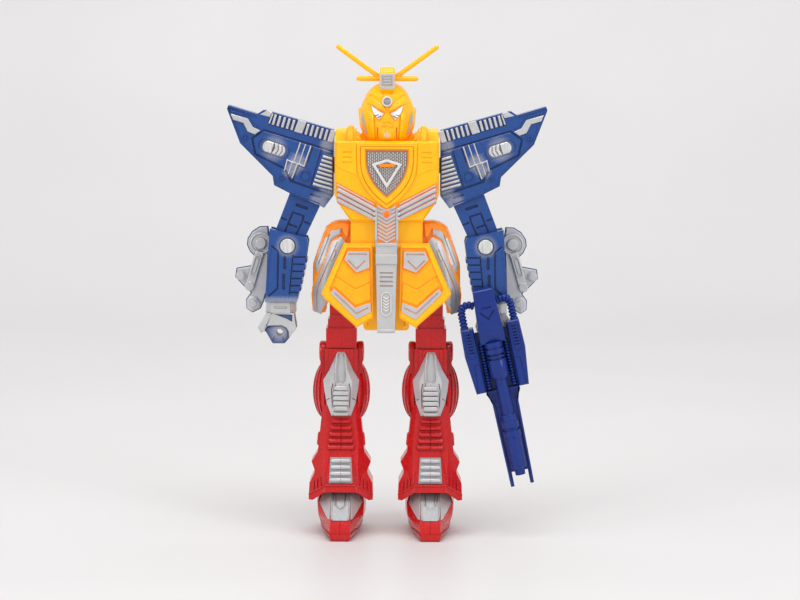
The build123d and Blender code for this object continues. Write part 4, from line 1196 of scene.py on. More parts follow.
def wing_vent(add):
    vent = Form()
    for k, (u0, u1) in enumerate(((-5.8, -3.4), (-3.2, -1.45), (-1.25, 0.5), (0.7, 5.8))):
        left, right = [], []
        for i in range(9):
            v = -2.75 + 5.5 * i / 8
            notch = 0.9 * (1 - abs(v) / 2.75)
            reach = 3.0 + 2.8 * math.sqrt(max(1 - (v / 2.95) ** 2, 0.03))
            left.append((max(u0 - (notch if k in (1, 2) else 0), -reach), v))
            right.append((min(u1 - (0 if k == 3 else notch), reach), v))
        outline = left + right[::-1]
        vent.slab(moved(turned_outline(outline, 18), 56.3, 194.3), -8.3 + 0.15 * (3 - k), -6.6, crown=0.35)
    add("wing_vent", vent, BRUSHED, soften=0.12)


def wing_ribs(add):
    bed = Form().slab(band_box(0.2, 33.6, 0.1, 5.7), -6.55, -6.0)
    add("wing_top_bed", bed, BLUE, soften=0.1)
    ribs = Form().slab(band_box(0.15, 3.0, 0.1, 6.1, 0.2), -7.45, -6.3, crown=0.2)
    for k in range(5):
        ribs.slab(band_box(3.75 + 2.45 * k, 5.05 + 2.45 * k, 0.15, 5.6), -7.45, -6.3, crown=0.3)
    ribs.slab(band_box(16.0, 20.2, 0.1, 6.4, 0.6), -7.5, -6.3, crown=0.25)
    for k in range(5):
        ribs.slab(band_box(20.9 + 2.4 * k, 22.2 + 2.4 * k, 0.3, 5.6), -7.45, -6.3, crown=0.3)
    ribs.slab(band_box(32.7, 33.5, 0.4, 5.7, 0.4), -7.45, -6.3, crown=0.2)
    ribs.slab([band_point(33.6, 3.6), band_point(38.8, 3.4), band_point(35.6, 6.6), band_point(33.0, 6.4)],
              -7.4, -6.3, crown=0.3)
    add("wing_top_ribs", ribs, SILVER_B, soften=0.1)

    bed = Form().slab([(27.1, 190.9), (31.7, 192.3), (37.0, 175.9), (27.1, 172.8)], -7.6, -6.9)
    add("wing_louvre_bed", bed, BLUE_GREY, soften=0.1)
    louvres = Form()
    for k in range(8):
        z = 188.6 - 2.15 * k
        right = 31.9 + (191.2 - z) * 0.325 - 0.6
        louvres.slab([(27.15, z), (27.15, z + 1.25), (right - 0.3, z + 1.25 + (right - 27) * 0.27),
                      (right, z + (right - 27) * 0.27)], -8.35, -7.2, crown=0.4)
    add("wing_louvres", louvres, SILVER_B, soften=0.1)


def wing_flash(add):
    flash = Form().slab([(78.0, 211.6), (76.6, 208.4), (71.6, 206.9), (69.4, 202.6), (65.8, 201.2),
                         (63.0, 203.2), (66.7, 204.9), (69.2, 209.1)], -7.75, -6.6, crown=0.35)
    add("wing_flash", flash, BLUE, soften=0.12, face_paint=SILVER_B, facing=0.2)
    shadow = Form().line([(77.6, 212.8), (68.4, 210.2), (66.0, 206.4), (62.8, 204.4)], 0.55,
                         -7.3, -6.8, crown=0.15)
    add("wing_flash_edge", shadow, BLUE, soften=0.1)


def wing_back(add):
    back = Form()
    cut = wing_face(back, PARTING, WING_DEPTH, (6.3, 12))
    for x, z in WING_SCREWS:
        cut.pin(x, z, 2.4, 5.6, 12)
    for k in range(6):
        cut.slab(bar((30.0 + 3.0 * k, 183.6 + 0.85 * k), (33.2 + 3.0 * k, 174.8 + 1.3 * k), 0.7), 6.4, 12)
    add("wing_back", back, BLUE, cut=cut, soften=0.3, segments=3, stands_for="shoulder_back")
    raised = Form().slab([(48.0, 196.8), (60.4, 200.6), (64.4, 198.4), (63.4, 193.0), (52.0, 187.2),
                          (48.6, 187.6)], 6.8, 7.5)
    add("wing_back_panel", raised, BLUE, soften=0.25)


def upper_arm(add):
    blade = Form().slab(UPPER_ARM, -BLADE_DEPTH, -PARTING)
    blade.pin(*ELBOW, 7.2, -5.02, -0.05, 36)
    cut = Form().slab(turned_outline(lozenge((39.9, 165.3), (45.1, 165.3), 1.5), 18, (42.5, 165.3)), -8, -3.7)
    for line in (((51.0, 152.7), (47.0, 162.4), (41.6, 160.6), (42.2, 158.0), (45.4, 151.0)),
                 ((48.9, 156.45), (44.9, 154.95)), ((54.4, 160.4), (50.2, 158.6)),
                 ((41.4, 157.75), (36.4, 155.75))):
        cut.line(list(line), 0.95, -8, -4.1)
    add("upper_arm_front", blade, BLUE, cut=cut, soften=0.35, segments=3)
    blade = Form().slab(UPPER_ARM, PARTING, BLADE_DEPTH)
    blade.pin(*ELBOW, 7.2, PARTING, BLADE_DEPTH, 36)
    cut = Form()
    for line in (((49.6, 156.4), (46.4, 164.2), (40.4, 161.8), (43.6, 154.0), (49.6, 156.4)),
                 ((53.4, 160.0), (48.2, 158.0))):
        cut.line(list(line), 0.6, 4.3, 8)
    add("upper_arm_back", blade, BLUE, cut=cut, soften=0.35, segments=3)


def arm(name, side):
    body = f"{name}_arm"
    add = side_pieces(name, body, side)
    wing_front(add)
    wing_bolt(add)
    wing_vent(add)
    wing_ribs(add)
    wing_flash(add)
    wing_back(add)
    for k, (x, z) in enumerate(WING_SCREWS):
        screw_head(f"{name}_wing_screw_{k}", body, (side * x, 6.6, z), (0, 1, 0), 1.9,
                   (f"{name}_shoulder_screws",) if k == 0 else ())
    upper_arm(add)


def forearm(name, side):
    body = f"{name}_forearm"
    add = side_pieces(name, body, side)
    for half, way, paint in (("front", -1, BLUE_MISTY), ("back", 1, BLUE)):
        shell = Form().slab(FOREARM, *sorted((way * PARTING, way * FOREARM_DEPTH)))
        slot = Form().box((30, 70), (-5.4, 5.4), (138.2, 160))
        near, far = sorted((way * (FOREARM_DEPTH - 0.95), way * 14))
        for a, b in (((50.8, 140.0), (50.8, 134.9)), ((51.4, 131.2), (51.4, 124.6))):
            slot.slab(lozenge(a, b, 1.5), near, far)
        slot.line([(57.6, 146.0), (54.1, 143.0), (54.4, 124.4), (59.2, 120.4)], 0.65, near, far)
        for k, z in enumerate((140.2, 136.6, 133.0, 129.4, 125.8, 122.4)):
            inner = 46.6 + 0.35 * k
            slot.slab(bar((36, z), (inner, z + 0.15), 0.8), near, far)
        slot.line([(46.7, 141.4), (48.6, 121.6)], 0.65, near, far)
        slot.pin(*ELBOW, 4.25, *sorted((way * 8.3, way * 14)), 32)
        if half == "back":
            slot.pin(46.8, 130.0, 2.4, 7.6, 14)
        add(f"forearm_shell_{half}", shell, paint, cut=slot, soften=0.35, segments=3,
            stands_for=f"forearm_{half}")
    strip = Form().slab([(57.4, 144.8), (54.7, 142.6), (54.9, 124.9), (59.0, 121.2), (59.3, 130.0)], -9.5,
                        -9.0, crown=0.2)
    add("forearm_strip", strip, BLUE, soften=0.15)
    steps = Form()
    for k, z in enumerate((138.4, 134.8, 131.2, 127.6, 124.1)):
        x0 = 40.7 + (138.4 - z) * 0.21
        steps.box((x0 - 0.9, x0 + 3.0), (-6.6, 6.6), (z - 1.25, z + 1.25))
    add("forearm_grip", steps, BLUE, soften=0.4, segments=3)
    pin = Form().lathe([(0, 2.5), (0.1, 3.6), (0.8, 3.65), (1.1, 3.45), (1.2, 3.2), (1.12, 0.1)],
                       (ELBOW[0], -8.6, ELBOW[1]), (0, -1, 0), 40)
    pin.lathe([(0, 2.5), (0.1, 3.6), (0.8, 3.65), (1.0, 3.45), (1.1, 3.2), (1.02, 0.1)],
              (ELBOW[0], 8.6, ELBOW[1]), (0, 1, 0), 40)
    pin.pin(*ELBOW, 2.45, -9.0, 9.0, 24)
    add("elbow_disc", pin, BRUSHED, soften=0.12, stands_for="elbow_pin")
    screw_head(f"{name}_forearm_screw_head", body, (side * 46.8, 8.5, 130.0), (0, 1, 0), 1.9,
               (f"{name}_forearm_screw",))
    plate = [(60.0, 154.6), (64.5, 154.4), (68.2, 152.0), (70.6, 148.4), (71.0, 145.0), (69.4, 141.4),
             (66.8, 138.8),
             (67.4, 134.8), (76.3, 133.2), (77.0, 128.5), (72.1, 123.4), (69.0, 120.6), (71.5, 117.2),
             (71.3, 112.4),
             (68.2, 110.3), (64.0, 112.4), (62.4, 116.0), (61.2, 119.6), (60.4, 120.0), (59.9, 136.0),
             (59.2, 148.0)]
    base = Form().slab(plate, 7.9, 8.8)
    add("bracket_plate", base, BLUE, soften=0.3, stands_for="side_bracket")
    skin = Form().slab(inset(plate, 0.5), 7.4, 8.4, crown=0.35)
    add("bracket_skin", skin, SILVER_B, soften=0.12)
    hub = Form()
    hub.lathe([(0, 5.8), (1.6, 5.6), (1.9, 5.2), (1.9, 4.7), (1.4, 4.5), (1.4, 3.1), (2.6, 2.9), (3.1, 2.5),
               (3.2, 0.1)], (63.8, 8.3, 145.8), (0, -1, 0), 36)
    hub.line([(64.0, 142.0), (69.2, 124.6)], 4.8, 6.2, 8.1, crown=0.5)
    add("bracket_strut", hub, SILVER_B, soften=0.2)
    raised = ring_slab(Form(), lozenge((65.2, 138.2), (67.4, 131.0), 3.6, 8),
                       lozenge((65.2, 138.2), (67.4, 131.0), 2.5, 8), 5.7, 7.7)
    raised.slab(lozenge((65.4, 137.6), (67.2, 131.6), 1.4, 8), 5.8, 7.7)
    raised.lathe([(0, 2.5), (1.6, 2.45), (1.9, 2.1), (1.95, 0.1)], (69.5, 7.8, 124.0), (0, -1, 0))
    raised.lathe([(0, 2.6), (1.2, 2.6), (1.3, 1.95), (2.1, 1.8), (2.2, 0.1)], (74.0, 8.1, 129.4), (0, -1, 0))
    hexagon = [(69.4, 119.4), (65.7, 118.8), (63.2, 115.4), (64.4, 112.8), (68.2, 110.8), (71.0, 112.6),
               (71.1, 117.1)]
    raised.slab(hexagon, 6.1, 8.1, crown=1.2, slope=1.3)
    raised.slab(inset(hexagon, 1.9), 5.5, 7.5, crown=0.4)
    add("bracket_relief", raised, SILVER_B, soften=0.12)


def fist(name, side):
    add = side_pieces(name, f"{name}_hand", side)
    cx = 53.1
    cuff = [(7.7, -4.5), (4.7, -7.5), (-4.7, -7.5), (-7.7, -4.5), (-7.7, 4.5), (-4.7, 7.5), (4.7, 7.5),
            (7.7, 4.5)]

    def ring(scale):
        return [(cx + x * scale, y * scale) for x, y in cuff]

    wrist = Form().stack((117.4, ring(1.0)), (116.7, ring(1.0)), (116.6, ring(0.975)), (112.9, ring(0.975)),
                         (112.8, ring(1.0)), (111.9, ring(0.98)))
    mark = Form().slab(lozenge((50.4, 114.7), (55.8, 114.7), 1.1), -12, -6.9)
    add("wrist_cuff", wrist, SILVER_B, cut=mark, soften=0.15)
    mitt = [(60.2, 111.9), (63.6, 105.6), (62.0, 102.6), (60.8, 102.6), (57.2, 96.3), (51.0, 96.3),
            (48.8, 99.1), (46.0, 103.0), (46.6, 111.9)]
    core = Form().slab(mitt, -6.0, 6.0)
    bore = Form().pin(*GRIP, 1.8, -12, 12)
    add("fist_core", core, BLUE_GREY, cut=bore, soften=0.6, segments=3, stands_for="fist")
    plate = [(60.3, 111.9), (64.6, 104.5), (62.9, 101.6), (61.5, 102.9), (59.4, 105.4), (55.6, 105.6),
             (52.6, 105.7), (50.2, 104.6), (48.9, 102.4), (48.9, 99.4), (45.2, 103.6), (46.5, 111.9)]
    window = [(56.0, 111.2), (47.2, 111.0), (47.3, 107.4), (50.0, 108.9)]
    notch = Form().line([(57.2, 112.4), (60.4, 105.0)], 0.45, -10.0, -6.5).slab(window, -12, -5)
    add("fist_palm", Form().slab(plate, -7.0, -5.6), SILVER_B, cut=notch, soften=0.3, segments=3)
    add("fist_knuckle", Form().slab(plate, 5.6, 7.0), SILVER_B, cut=Form().slab(window, -12, 12), soften=0.3,
        segments=3)
    hub = Form().slab([(60.4, 104.2), (56.6, 104.9), (53.4, 105.0), (50.6, 104.0), (49.6, 102.0),
                       (49.7, 99.6), (51.4, 96.7), (56.8, 96.7)], -6.5, -5.6, crown=0.3)
    bore = Form().pin(*GRIP, 1.8, -12, 12)
    bore.line([(56.0, 100.0), (57.2, 97.4)], 0.4, -12, -6.1)
    bore.line([(52.2, 99.8), (51.2, 97.4)], 0.4, -12, -6.1)
    add("fist_hub", hub, BLUE_GREY, cut=bore, soften=0.2)
    thumb = Form().skin([
        [(x, y, 111.6) for x, y in ((60.4, -6.8), (56.9, -6.8), (56.9, 6.8), (60.4, 6.8))],
        [(x, y, 104.8) for x, y in ((64.5, -7.4), (60.9, -7.4), (60.9, 7.0), (64.5, 7.0))],
        [(x, y, 102.4) for x, y in ((63.0, -7.2), (61.0, -7.2), (61.0, 6.6), (63.0, 6.6))],
    ])
    add("fist_thumb", thumb, SILVER_B, soften=0.35, segments=3)


# ---- blaster ------------------------------------------------------------------------------
# Drawn upright about the grip pin, barrel down, then tilted in the fist.
GRIP = (53.7, 101.9)
GRIP_PLACE = Matrix.Translation((GRIP[0], 0, GRIP[1])) @ Matrix.Rotation(math.radians(-11.2), 4, "Y")
GUN_PLACE = Matrix.Translation((GRIP[0] - 1.0, 0, GRIP[1])) @ Matrix.Rotation(math.radians(-12.2), 4, "Y")
BARREL_Y = -17.2


def gun_piece(label, form, place=GUN_PLACE, **looks):
    """Piece of the blaster, drawn upright and then tilted in the fist."""
    piece(f"blaster_{label}", "blaster", form, GUN_BLUE, place=place, **looks)


def blaster():
    frame_half = [(0, 2.8), (8.5, 2.8), (8.5, -27.3), (6.6, -34.4), (5.9, -77.0), (4.1, -77.0), (4.1, -69.6)]
    plate = Form().slab(both(frame_half), -12.4, -11.0)
    fork_half = [(8.5, -27.3), (6.6, -34.4), (5.9, -76.98), (4.1, -76.98), (4.1, -69.6)]
    plate.slab(both(fork_half), -15.2, -11.4)
    cut = Form()
    for side in (-1, 1):
        cut.slab([(side * 3.6, -28.4), (side * 6.7, -28.4), (side * 5.3, -33.4), (side * 4.2, -33.4)],
                 -20, -14.4)
    gun_piece("plate", plate, cut=cut, soften=0.25, stands_for=("blaster_frame",))
    rails = Form()
    for side in (-1, 1):
        rails.slab([(side * 8.2, -28.4), (side * 8.2, -27.4), (side * 6.3, -34.6), (side * 5.85, -76.6),
                    (side * 4.7, -76.6), (side * 5.2, -34.6)], -15.9, -15.0, crown=0.3)
    gun_piece("rails", rails, soften=0.15)
    block = Form().skin([
        [(x, -11.2, z) for x, z in both([(0, 24.2), (5.0, 24.2), (5.9, 9.0), (6.3, 3.0), (6.3, -3.0)])],
        [(x, -20.4 if z > 0 else -18.9, z)
         for x, z in both([(0, 24.0), (5.0, 24.0), (5.9, 9.0), (6.3, 3.0), (6.3, -3.0)])],
        [(x, -21.0, z) for x, z in both([(0, 23.4), (4.5, 23.4), (5.4, 9.0), (5.75, 5.4), (5.75, 4.8)])],
    ])
    chevron = Form()
    chevron.line([(-3.4, 13.0), (0, 9.2), (3.4, 13.0)], 0.8, -24, -20.3)
    chevron.slab(lozenge((-2.2, 15.0), (2.2, 15.0), 0.8), -24, -20.3)
    gun_piece("block", block, cut=chevron, soften=0.3, segments=3)
    for name, side in SIDES.items():
        pod = Form().slab([(side * x, z) for x, z in
                           ((8.3, 5.8), (14.8, 5.8), (15.3, -8.0), (13.3, -27.3), (8.3, -27.3),
                            (8.2, -8.0))], -17.4, -11.0, crown=0.7)
        vents = Form()
        for k in range(7):
            z = 3.0 - 1.55 * k
            vents.slab(lozenge((side * 10.6, z), (side * 12.4, z), 0.75), -20, -16.5)
        ring_slab(vents, lozenge((side * 11.6, 4.2), (side * 11.6, -7.5), 4.2, 8),
                  lozenge((side * 11.6, 4.2), (side * 11.6, -7.5), 3.6, 8), -20, -17.15)
        vents.line([(side * 8.0, -12.0), (side * 11.4, -13.0), (side * 12.4, -27.6)], 0.4, -20, -17.1)
        gun_piece(f"{name}_pod", pod, cut=vents, soften=0.25)
        hose = corrugated([(side * 5.6, 16.2), (side * 8.4, 17.3), (side * 11.0, 16.8), (side * 12.4, 14.6),
                           (side * 12.6, 10.0), (side * 12.6, 5.6)], -14.7, 1.45, 2.05, 1.75)
        gun_piece(f"{name}_hose", hose, soften=0.0, stands_for=("blaster_hoses",) if side > 0 else ())
        spring = corrugated([(side * 6.2, -3.0), (side * 6.2, -14.0), (side * 6.4, -26.4)], -14.6,
                            0.75, 1.4, 1.5)
        gun_piece(f"{name}_spring", spring, soften=0.0)

    steps = [(-2.9, 4.5), (-5.4, 4.5), (-5.5, 4.0), (-6.2, 4.0), (-6.3, 4.6), (-8.6, 4.6), (-8.6, 3.5),
             (-9.6, 3.5),
             (-9.6, 4.5), (-10.6, 4.5), (-10.6, 3.5), (-11.6, 3.5), (-11.6, 4.5), (-12.6, 4.5), (-13.0, 4.65),
             (-20.0, 4.65), (-21.3, 3.9), (-21.3, 3.0), (-39.9, 2.95),
             (-39.9, 3.6), (-42.0, 3.7), (-42.2, 3.9), (-43.5, 3.9), (-43.6, 4.25), (-46.8, 4.25),
             (-47.0, 3.6), (-48.2, 3.6),
             (-48.3, 4.4), (-51.5, 4.4), (-51.7, 4.1), (-66.9, 4.1), (-67.8, 3.4), (-67.9, 2.6),
             (-71.2, 2.5), (-71.2, 1.5), (-69.0, 1.4), (-69.0, 0.1)]
    barrel = Form().lathe([(-v, r) for v, r in steps], (0, BARREL_Y, 0), (0, 0, -1), 32)
    gun_piece("barrel_turned", barrel, soften=0.18, stands_for=("blaster_barrel",))
    grip = Form().pin(0, 0, 3.8, -11.2, -7.4)
    grip.pin(0, 0, 1.7, -8.0, 5.0)
    gun_piece("grip_pin", grip, soften=0.2, place=GRIP_PLACE)
    back = Form().slab(both([(0, 1.8), (7.2, 1.8), (7.2, -25.6), (0, -25.6)]), -11.2, -10.6)
    lines = Form()
    for k in range(6):
        lines.slab(lozenge((-4.6, -6.0 - 3.0 * k), (4.6, -6.0 - 3.0 * k), 1.1), -10.9, -8)
    gun_piece("back_relief", back, cut=lines, soften=0.15)


def corrugated(points, y, low, high, pitch, steps=14):
    """Bellows hose along a smooth line through points in x and z, at depth y."""
    line = [Vector((x, y, z)) for x, z in points]
    fine = []
    for i in range(len(line) - 1):
        p0, p1 = line[max(i - 1, 0)], line[i]
        p2, p3 = line[i + 1], line[min(i + 2, len(line) - 1)]
        for k in range(12):
            t = k / 12
            fine.append(0.5 * (2 * p1 + (p2 - p0) * t + (2 * p0 - 5 * p1 + 4 * p2 - p3) * t * t
                               + (3 * p1 - p0 - 3 * p2 + p3) * t ** 3))
    fine.append(line[-1])
    runs = [0.0]
    for a, b in zip(fine, fine[1:]):
        runs.append(runs[-1] + (b - a).length)

    def at(distance):
        for i in range(len(fine) - 1):
            if runs[i + 1] >= distance:
                t = (distance - runs[i]) / max(runs[i + 1] - runs[i], 1e-9)
                return fine[i].lerp(fine[i + 1], t), (fine[i + 1] - fine[i]).normalized()
        return fine[-1], (fine[-1] - fine[-2]).normalized()

    rings = []
    count = max(2, round(runs[-1] / pitch))
    for k in range(count):
        for share, radius in ((0.02, low), (0.25, high * 0.97), (0.5, high), (0.75, high * 0.97),
                              (0.98, low)):
            spot, way = at(runs[-1] * (k + share) / count)
            across = Vector((0, 1, 0))
            side = way.cross(across).normalized()
            rings.append([spot + side * (radius * math.cos(2 * math.pi * i / steps))
                          + across * (radius * math.sin(2 * math.pi * i / steps)) for i in range(steps)])
    return Form().skin(rings)


# ---- legs (drawn for the left, about its own centre line) ---------------------------------
KNEE_Z = 91.8


def leg_points(s, points):
    """Points drawn about the leg's centre line, on its s = +1 or -1 side."""
    return [(LEG_X + s * x, z) for x, z in points]


def leg_span(s, near, far):
    """Lowest and highest x of a span beside the leg's centre line."""
    return tuple(sorted((LEG_X + s * near, LEG_X + s * far)))


def leg_width(half):
    return LEG_X - half, LEG_X + half


def leg_outline(half):
    """Closed outline symmetric about the leg's centre line, from one half of it."""
    return leg_points(1, half) + leg_points(-1, reversed(half))


def octagon(half_w, front, back, cut):
    return leg_outline([(half_w - cut, front), (half_w, front + cut), (half_w, back - cut),
                        (half_w - cut, back)])


def thigh(name, side):
    add = side_pieces(name, f"{name}_thigh", side)
    for part, (low, high) in {"outer": (LEG_X + 0.02, 29.3), "inner": (15.7, LEG_X - 0.02)}.items():
        top_high = high - 0.9 if part == "outer" else high
        form = Form().box((low, top_high), (-6.9, 6.9), (108.5, 131.5))
        form.lathe([(0, 6.95), (top_high - low, 6.95)], (low, 0, 131.5), (1, 0, 0), 40)
        form.box((low, high), (-7.0, 7.0), (100, 109.0))
        outside = high + 0.9 if part == "outer" else high
        inside = low - 0.9 if part == "inner" else low
        form.box((inside, outside), (-7.9, 7.9), (97.7, 104.4))
        form.box((inside, outside), (-7.88, -0.5), (94.25, 98.2))
        cut = Form()
        for y in ((-12, -6.5), (6.5, 12)):
            cut.box((low - 3, high + 3), y, (111.18, 111.62))
        face_x = high if part == "outer" else low
        for z in (121.5, 118.5, 115.5):
            cut.box((face_x - 0.5, face_x + 0.5), (-4.0, 4.0), (z - 0.5, z + 0.5))
        cut.lathe([(0, 3.1), (20, 3.1)], (LEG_X - 8, 0, HIP_Z), (1, 0, 0), 32)
        add(f"thigh_shell_{part}", form, RED, cut=cut, soften=0.4, segments=3, stands_for=f"thigh_{part}")
        boss = Form().lathe([(0, 4.6), (0.5, 4.4), (0.6, 3.4)],
                            (face_x - (0.95 if part == "outer" else 0.0), 0, HIP_Z),
                            (1 if part == "outer" else -1, 0, 0))
        add(f"thigh_hub_{part}", boss, RED, soften=0.15)
    tongue = Form().box(leg_width(3.95), (-4.9, 4.9), (KNEE_Z, 98))
    tongue.lathe([(0, 4.9), (7.9, 4.9)], (LEG_X - 3.95, 0, KNEE_Z), (1, 0, 0), 36)
    cut = Form().lathe([(0, 2.1), (12, 2.1)], (LEG_X - 6, 0, KNEE_Z), (1, 0, 0), 28)
    add("knee_tongue", tongue, RED, cut=cut, soften=0.3)


# Shin and ankle guard: height, half width, front and back.
SHIN = [(86.0, 6.6, -9.6, 7.0), (57.5, 10.2, -9.5, 9.5), (43.5, 11.6, -11.0, 11.5), (18.5, 15.4, -18.5, 15.5)]
SHIN_SCREWS = (66.0, 48.0)   # heights


def shin_at(z):
    return measures_at(SHIN, z)


def shin_front(x, z):
    return shin_at(z)[1]


def shin_back(x, z):
    return shin_at(z)[2]


def shin_shells(add):
    for part, (low, high) in {"outer": (LEG_X + 0.04, 80), "inner": (-20, LEG_X - 0.04)}.items():
        form = Form().stack(*[(z, octagon(*shin_at(z), 2.5)) for z in (86.0, 72.0, 57.5, 43.5)])
        keep = Form().box((-20, low) if part == "outer" else (high, 80), (-40, 40), (-10, 120))
        for s in (-1, 1):
            keep.box(leg_span(s, 10.1, 20), (-2.4, 0.6), (46.6, 52.6))
            draped_slab(keep, path_band(leg_points(s, [(2.9, 78.0), (5.2, 57.5), (6.2, 46.0)]), 0.6),
                        shin_back, 0.6, 3.0)
        for z in (75.0, 71.8, 68.6, 65.4, 62.2):
            draped_slab(keep, bar((LEG_X - 2.0, z), (LEG_X + 2.0, z), 1.0), shin_back, 0.6, 3.0)
        keep.box(leg_width(4.0), (3.0, 20), (80.9, 90))
        if part == "inner":
            for z in SHIN_SCREWS:
                keep.lathe([(0, 2.3), (4, 2.3)], (LEG_X - shin_at(z)[0] + 1.6, 0, z), (-1, 0, 0))
        add(f"shin_shell_{part}", form, RED, cut=keep, soften=0.3, segments=2, stands_for=f"shin_{part}")


def knee(add):
    ears = Form()
    for s in (-1, 1):
        ears.lathe([(0, 4.6), (0.3, 5.2), (2.4, 5.4), (3.2, 5.0), (3.6, 4.0)], (LEG_X + s * 7.7, 0, KNEE_Z),
                   (s, 0, 0), 36)
        ears.skin([[(LEG_X + s * 7.9, y, z)
                    for y, z in ((-5.0, 91.0), (5.0, 91.0), (6.4, 80.0), (-7.0, 80.0))],
                   [(LEG_X + s * 10.6, y, z)
                    for y, z in ((-5.0, 91.0), (5.0, 91.0), (6.0, 82.0), (-6.4, 82.0))]])
        ears.box(leg_span(s, 5.6, 9.0), (-6.5, 6.0), (79.5, 86.4))
        ears.box(leg_span(s, 4.4, 8.2), (-8.8, -3.6), (80.2, 94.1))
    hole = Form()
    for s in (-1, 1):
        hole.lathe([(0, 3.0), (3, 3.0)], (LEG_X + s * 10.4, 0, KNEE_Z), (s, 0, 0))
    add("knee_ears", ears, RED, cut=hole, soften=0.5, segments=3)
    pin = Form().lathe([(0, 1.95), (20.6, 1.95), (20.9, 1.7)], (LEG_X - 10.4, 0, KNEE_Z), (1, 0, 0))
    add("knee_axle", pin, STEEL, soften=0.1, stands_for="knee_pin")


def calf_fins(add):
    fins = Form()
    for s in (-1, 1):
        grid = []
        for i in range(25):
            v = math.pi * (i + 0.4) / 24.8
            row = []
            for j in range(132):
                u = 2 * math.pi * j / 132 - math.pi
                swell = 0.92 + 0.08 * (abs(u) / math.pi * 9 % 1.0)
                row.append((LEG_X + s * (7.0 + 7.9 * swell * math.sin(v) * math.cos(u)),
                            1.0 + 10.3 * swell * math.sin(v) * math.sin(u), 71.8 + 15.2 * math.cos(v)))
            grid.append(row)
        fins.skin(grid)
    trim = Form()
    trim.box(leg_width(5.5), (-20, 20), (50, 92))
    add("calf_fins", fins, RED, cut=trim, soften=0.0)


def knee_neck(add):
    neck = Form().slab([(LEG_X - 6.2, 94.1), (LEG_X - 6.2, 84), (LEG_X + 6.2, 84), (LEG_X + 6.2, 94.1)],
                       -9.5, -6.3)
    neck.slab([(LEG_X - 4.2, 94.1), (LEG_X - 4.6, 84), (LEG_X + 4.6, 84), (LEG_X + 4.2, 94.1)], -10.0, -9.0,
              crown=0.3)
    add("knee_neck", neck, RED, soften=0.35, segments=3)


def shin_ribs(add):
    rows = Form()
    for k, z in enumerate((57.6, 54.2, 50.9, 47.6, 44.4)):
        half = 5.1 + 0.43 * k
        rows.skin([
            [(x, shin_front(0, z) + y, edge)
             for x, edge in rectangle(LEG_X - w, LEG_X + w, z - low, z + high)]
            for w, low, high, y in ((half, 1.3, 1.3, 0.6), (half, 1.3, 1.3, -0.5),
                                    (half - 0.7, 0.6, 0.4, -1.5))
        ])
    for s in (-1, 1):
        rows.tube([(LEG_X + s * 11.35, -6.8, 45.6), (LEG_X + s * 11.1, -6.8, 48.2),
                   (LEG_X + s * 10.85, -6.8, 50.8)], 0.95)
    seam = Form().box(leg_width(0.1), (-20, -9.8), (38, 62))
    add("shin_ribs", rows, RED, cut=seam, soften=0.3, segments=3)


def shin(name, side):
    body = f"{name}_shin"
    add = side_pieces(name, body, side)
    shin_shells(add)
    for k, z in enumerate(SHIN_SCREWS):
        x = LEG_X - shin_at(z)[0] + 1.2
        screw_head(f"{name}_shin_screw_{k}", body, (side * x, 0, z), (-side, 0, 0), 1.8,
                   (f"{name}_shin_screws",) if k == 0 else ())
    knee(add)
    calf_fins(add)
    knee_neck(add)
    guard(add)
    shin_ribs(add)
    ankle(add)
    foot(add)


def guard(add):
    """Silver knee guard: faceted blade with a central flute and five ribs below it."""
    half = [(0.0, 92.8), (1.9, 92.8), (4.2, 87.6), (6.1, 83.2), (9.0, 78.4), (8.4, 73.0), (7.2, 66.6),
            (4.9, 60.4)]

    def ring(points, y):
        full = [(LEG_X + x, z) for x, z in both(points)]
        return [(x, y(z) if callable(y) else y, z) for x, z in full]

    form = Form().skin([ring(half, -8.4), ring(half, -10.2),
                        ring([(x * 0.62, 76.5 + (z - 76.5) * 0.93) for x, z in half],
                             lambda z: -13.9 + 0.0088 * (z - 78) ** 2)])
    cut = Form()
    flute = [(1.5, 92.6), (2.3, 85.5), (2.3, 77.9), (1.2, 76.7)]
    full = leg_outline(flute)
    deep = inset(full, 0.85)
    cut.skin([[(x, -20, z) for x, z in full], [(x, -12.9, z) for x, z in full],
              [(x, -11.6, z) for x, z in deep]])
    for s in (-1, 1):
        cut.line(leg_points(s, [(4.0, 77.2), (4.7, 74.0), (4.3, 64.4)]), 0.45, -20, -11.6)
        cut.line(leg_points(s, [(5.8, 69.6), (8.0, 67.6)]), 0.4, -20, -10.2)
    cut.box(leg_width(0.08), (-20, -12.2), (60, 77))
    add("knee_guard", form, SILVER_R, cut=cut, soften=0.3, segments=3)
    ribs = Form()
    for s in (-1, 1):
        ribs.line(leg_points(s, [(1.9, 92.2), (2.7, 85.4), (2.7, 77.6)]), 0.7, -13.7, -11.4, crown=0.25)
    for k in range(5):
        z = 74.8 - 2.55 * k
        w = 4.1 if 0 < k < 4 else 3.6
        ribs.slab(lozenge((LEG_X - w + 1.1, z), (LEG_X + w - 1.1, z), 2.15), -14.1, -12.6, crown=0.3)
    ribs.slab([(LEG_X - 4.2, 62.6), (LEG_X + 4.2, 62.6), (LEG_X + 3.4, 60.6), (LEG_X - 3.4, 60.6)], -12.6,
              -10.5, crown=0.4)
    add("knee_ribs", ribs, SILVER_R, soften=0.15)


# Two overlapping flares on each side of the ankle guard: height, inner and outer edge of each row.
FLARES = (((43.0, 5.2, 10.9), (36.3, 6.6, 15.0), (31.6, 7.4, 12.9)),
          ((32.2, 7.6, 12.9), (26.0, 8.2, 15.9), (18.2, 9.6, 16.2)))


def flare_front(x, z):
    """Front face of the flares."""
    x0, x1 = measures_at(FLARES[0] if z > 32.0 else FLARES[1], z)
    share = (abs(x - LEG_X) - x0) / (x1 - x0)
    return shin_at(z)[1] - 0.3 + share * ((x1 - x0) * 0.95 - 0.6)


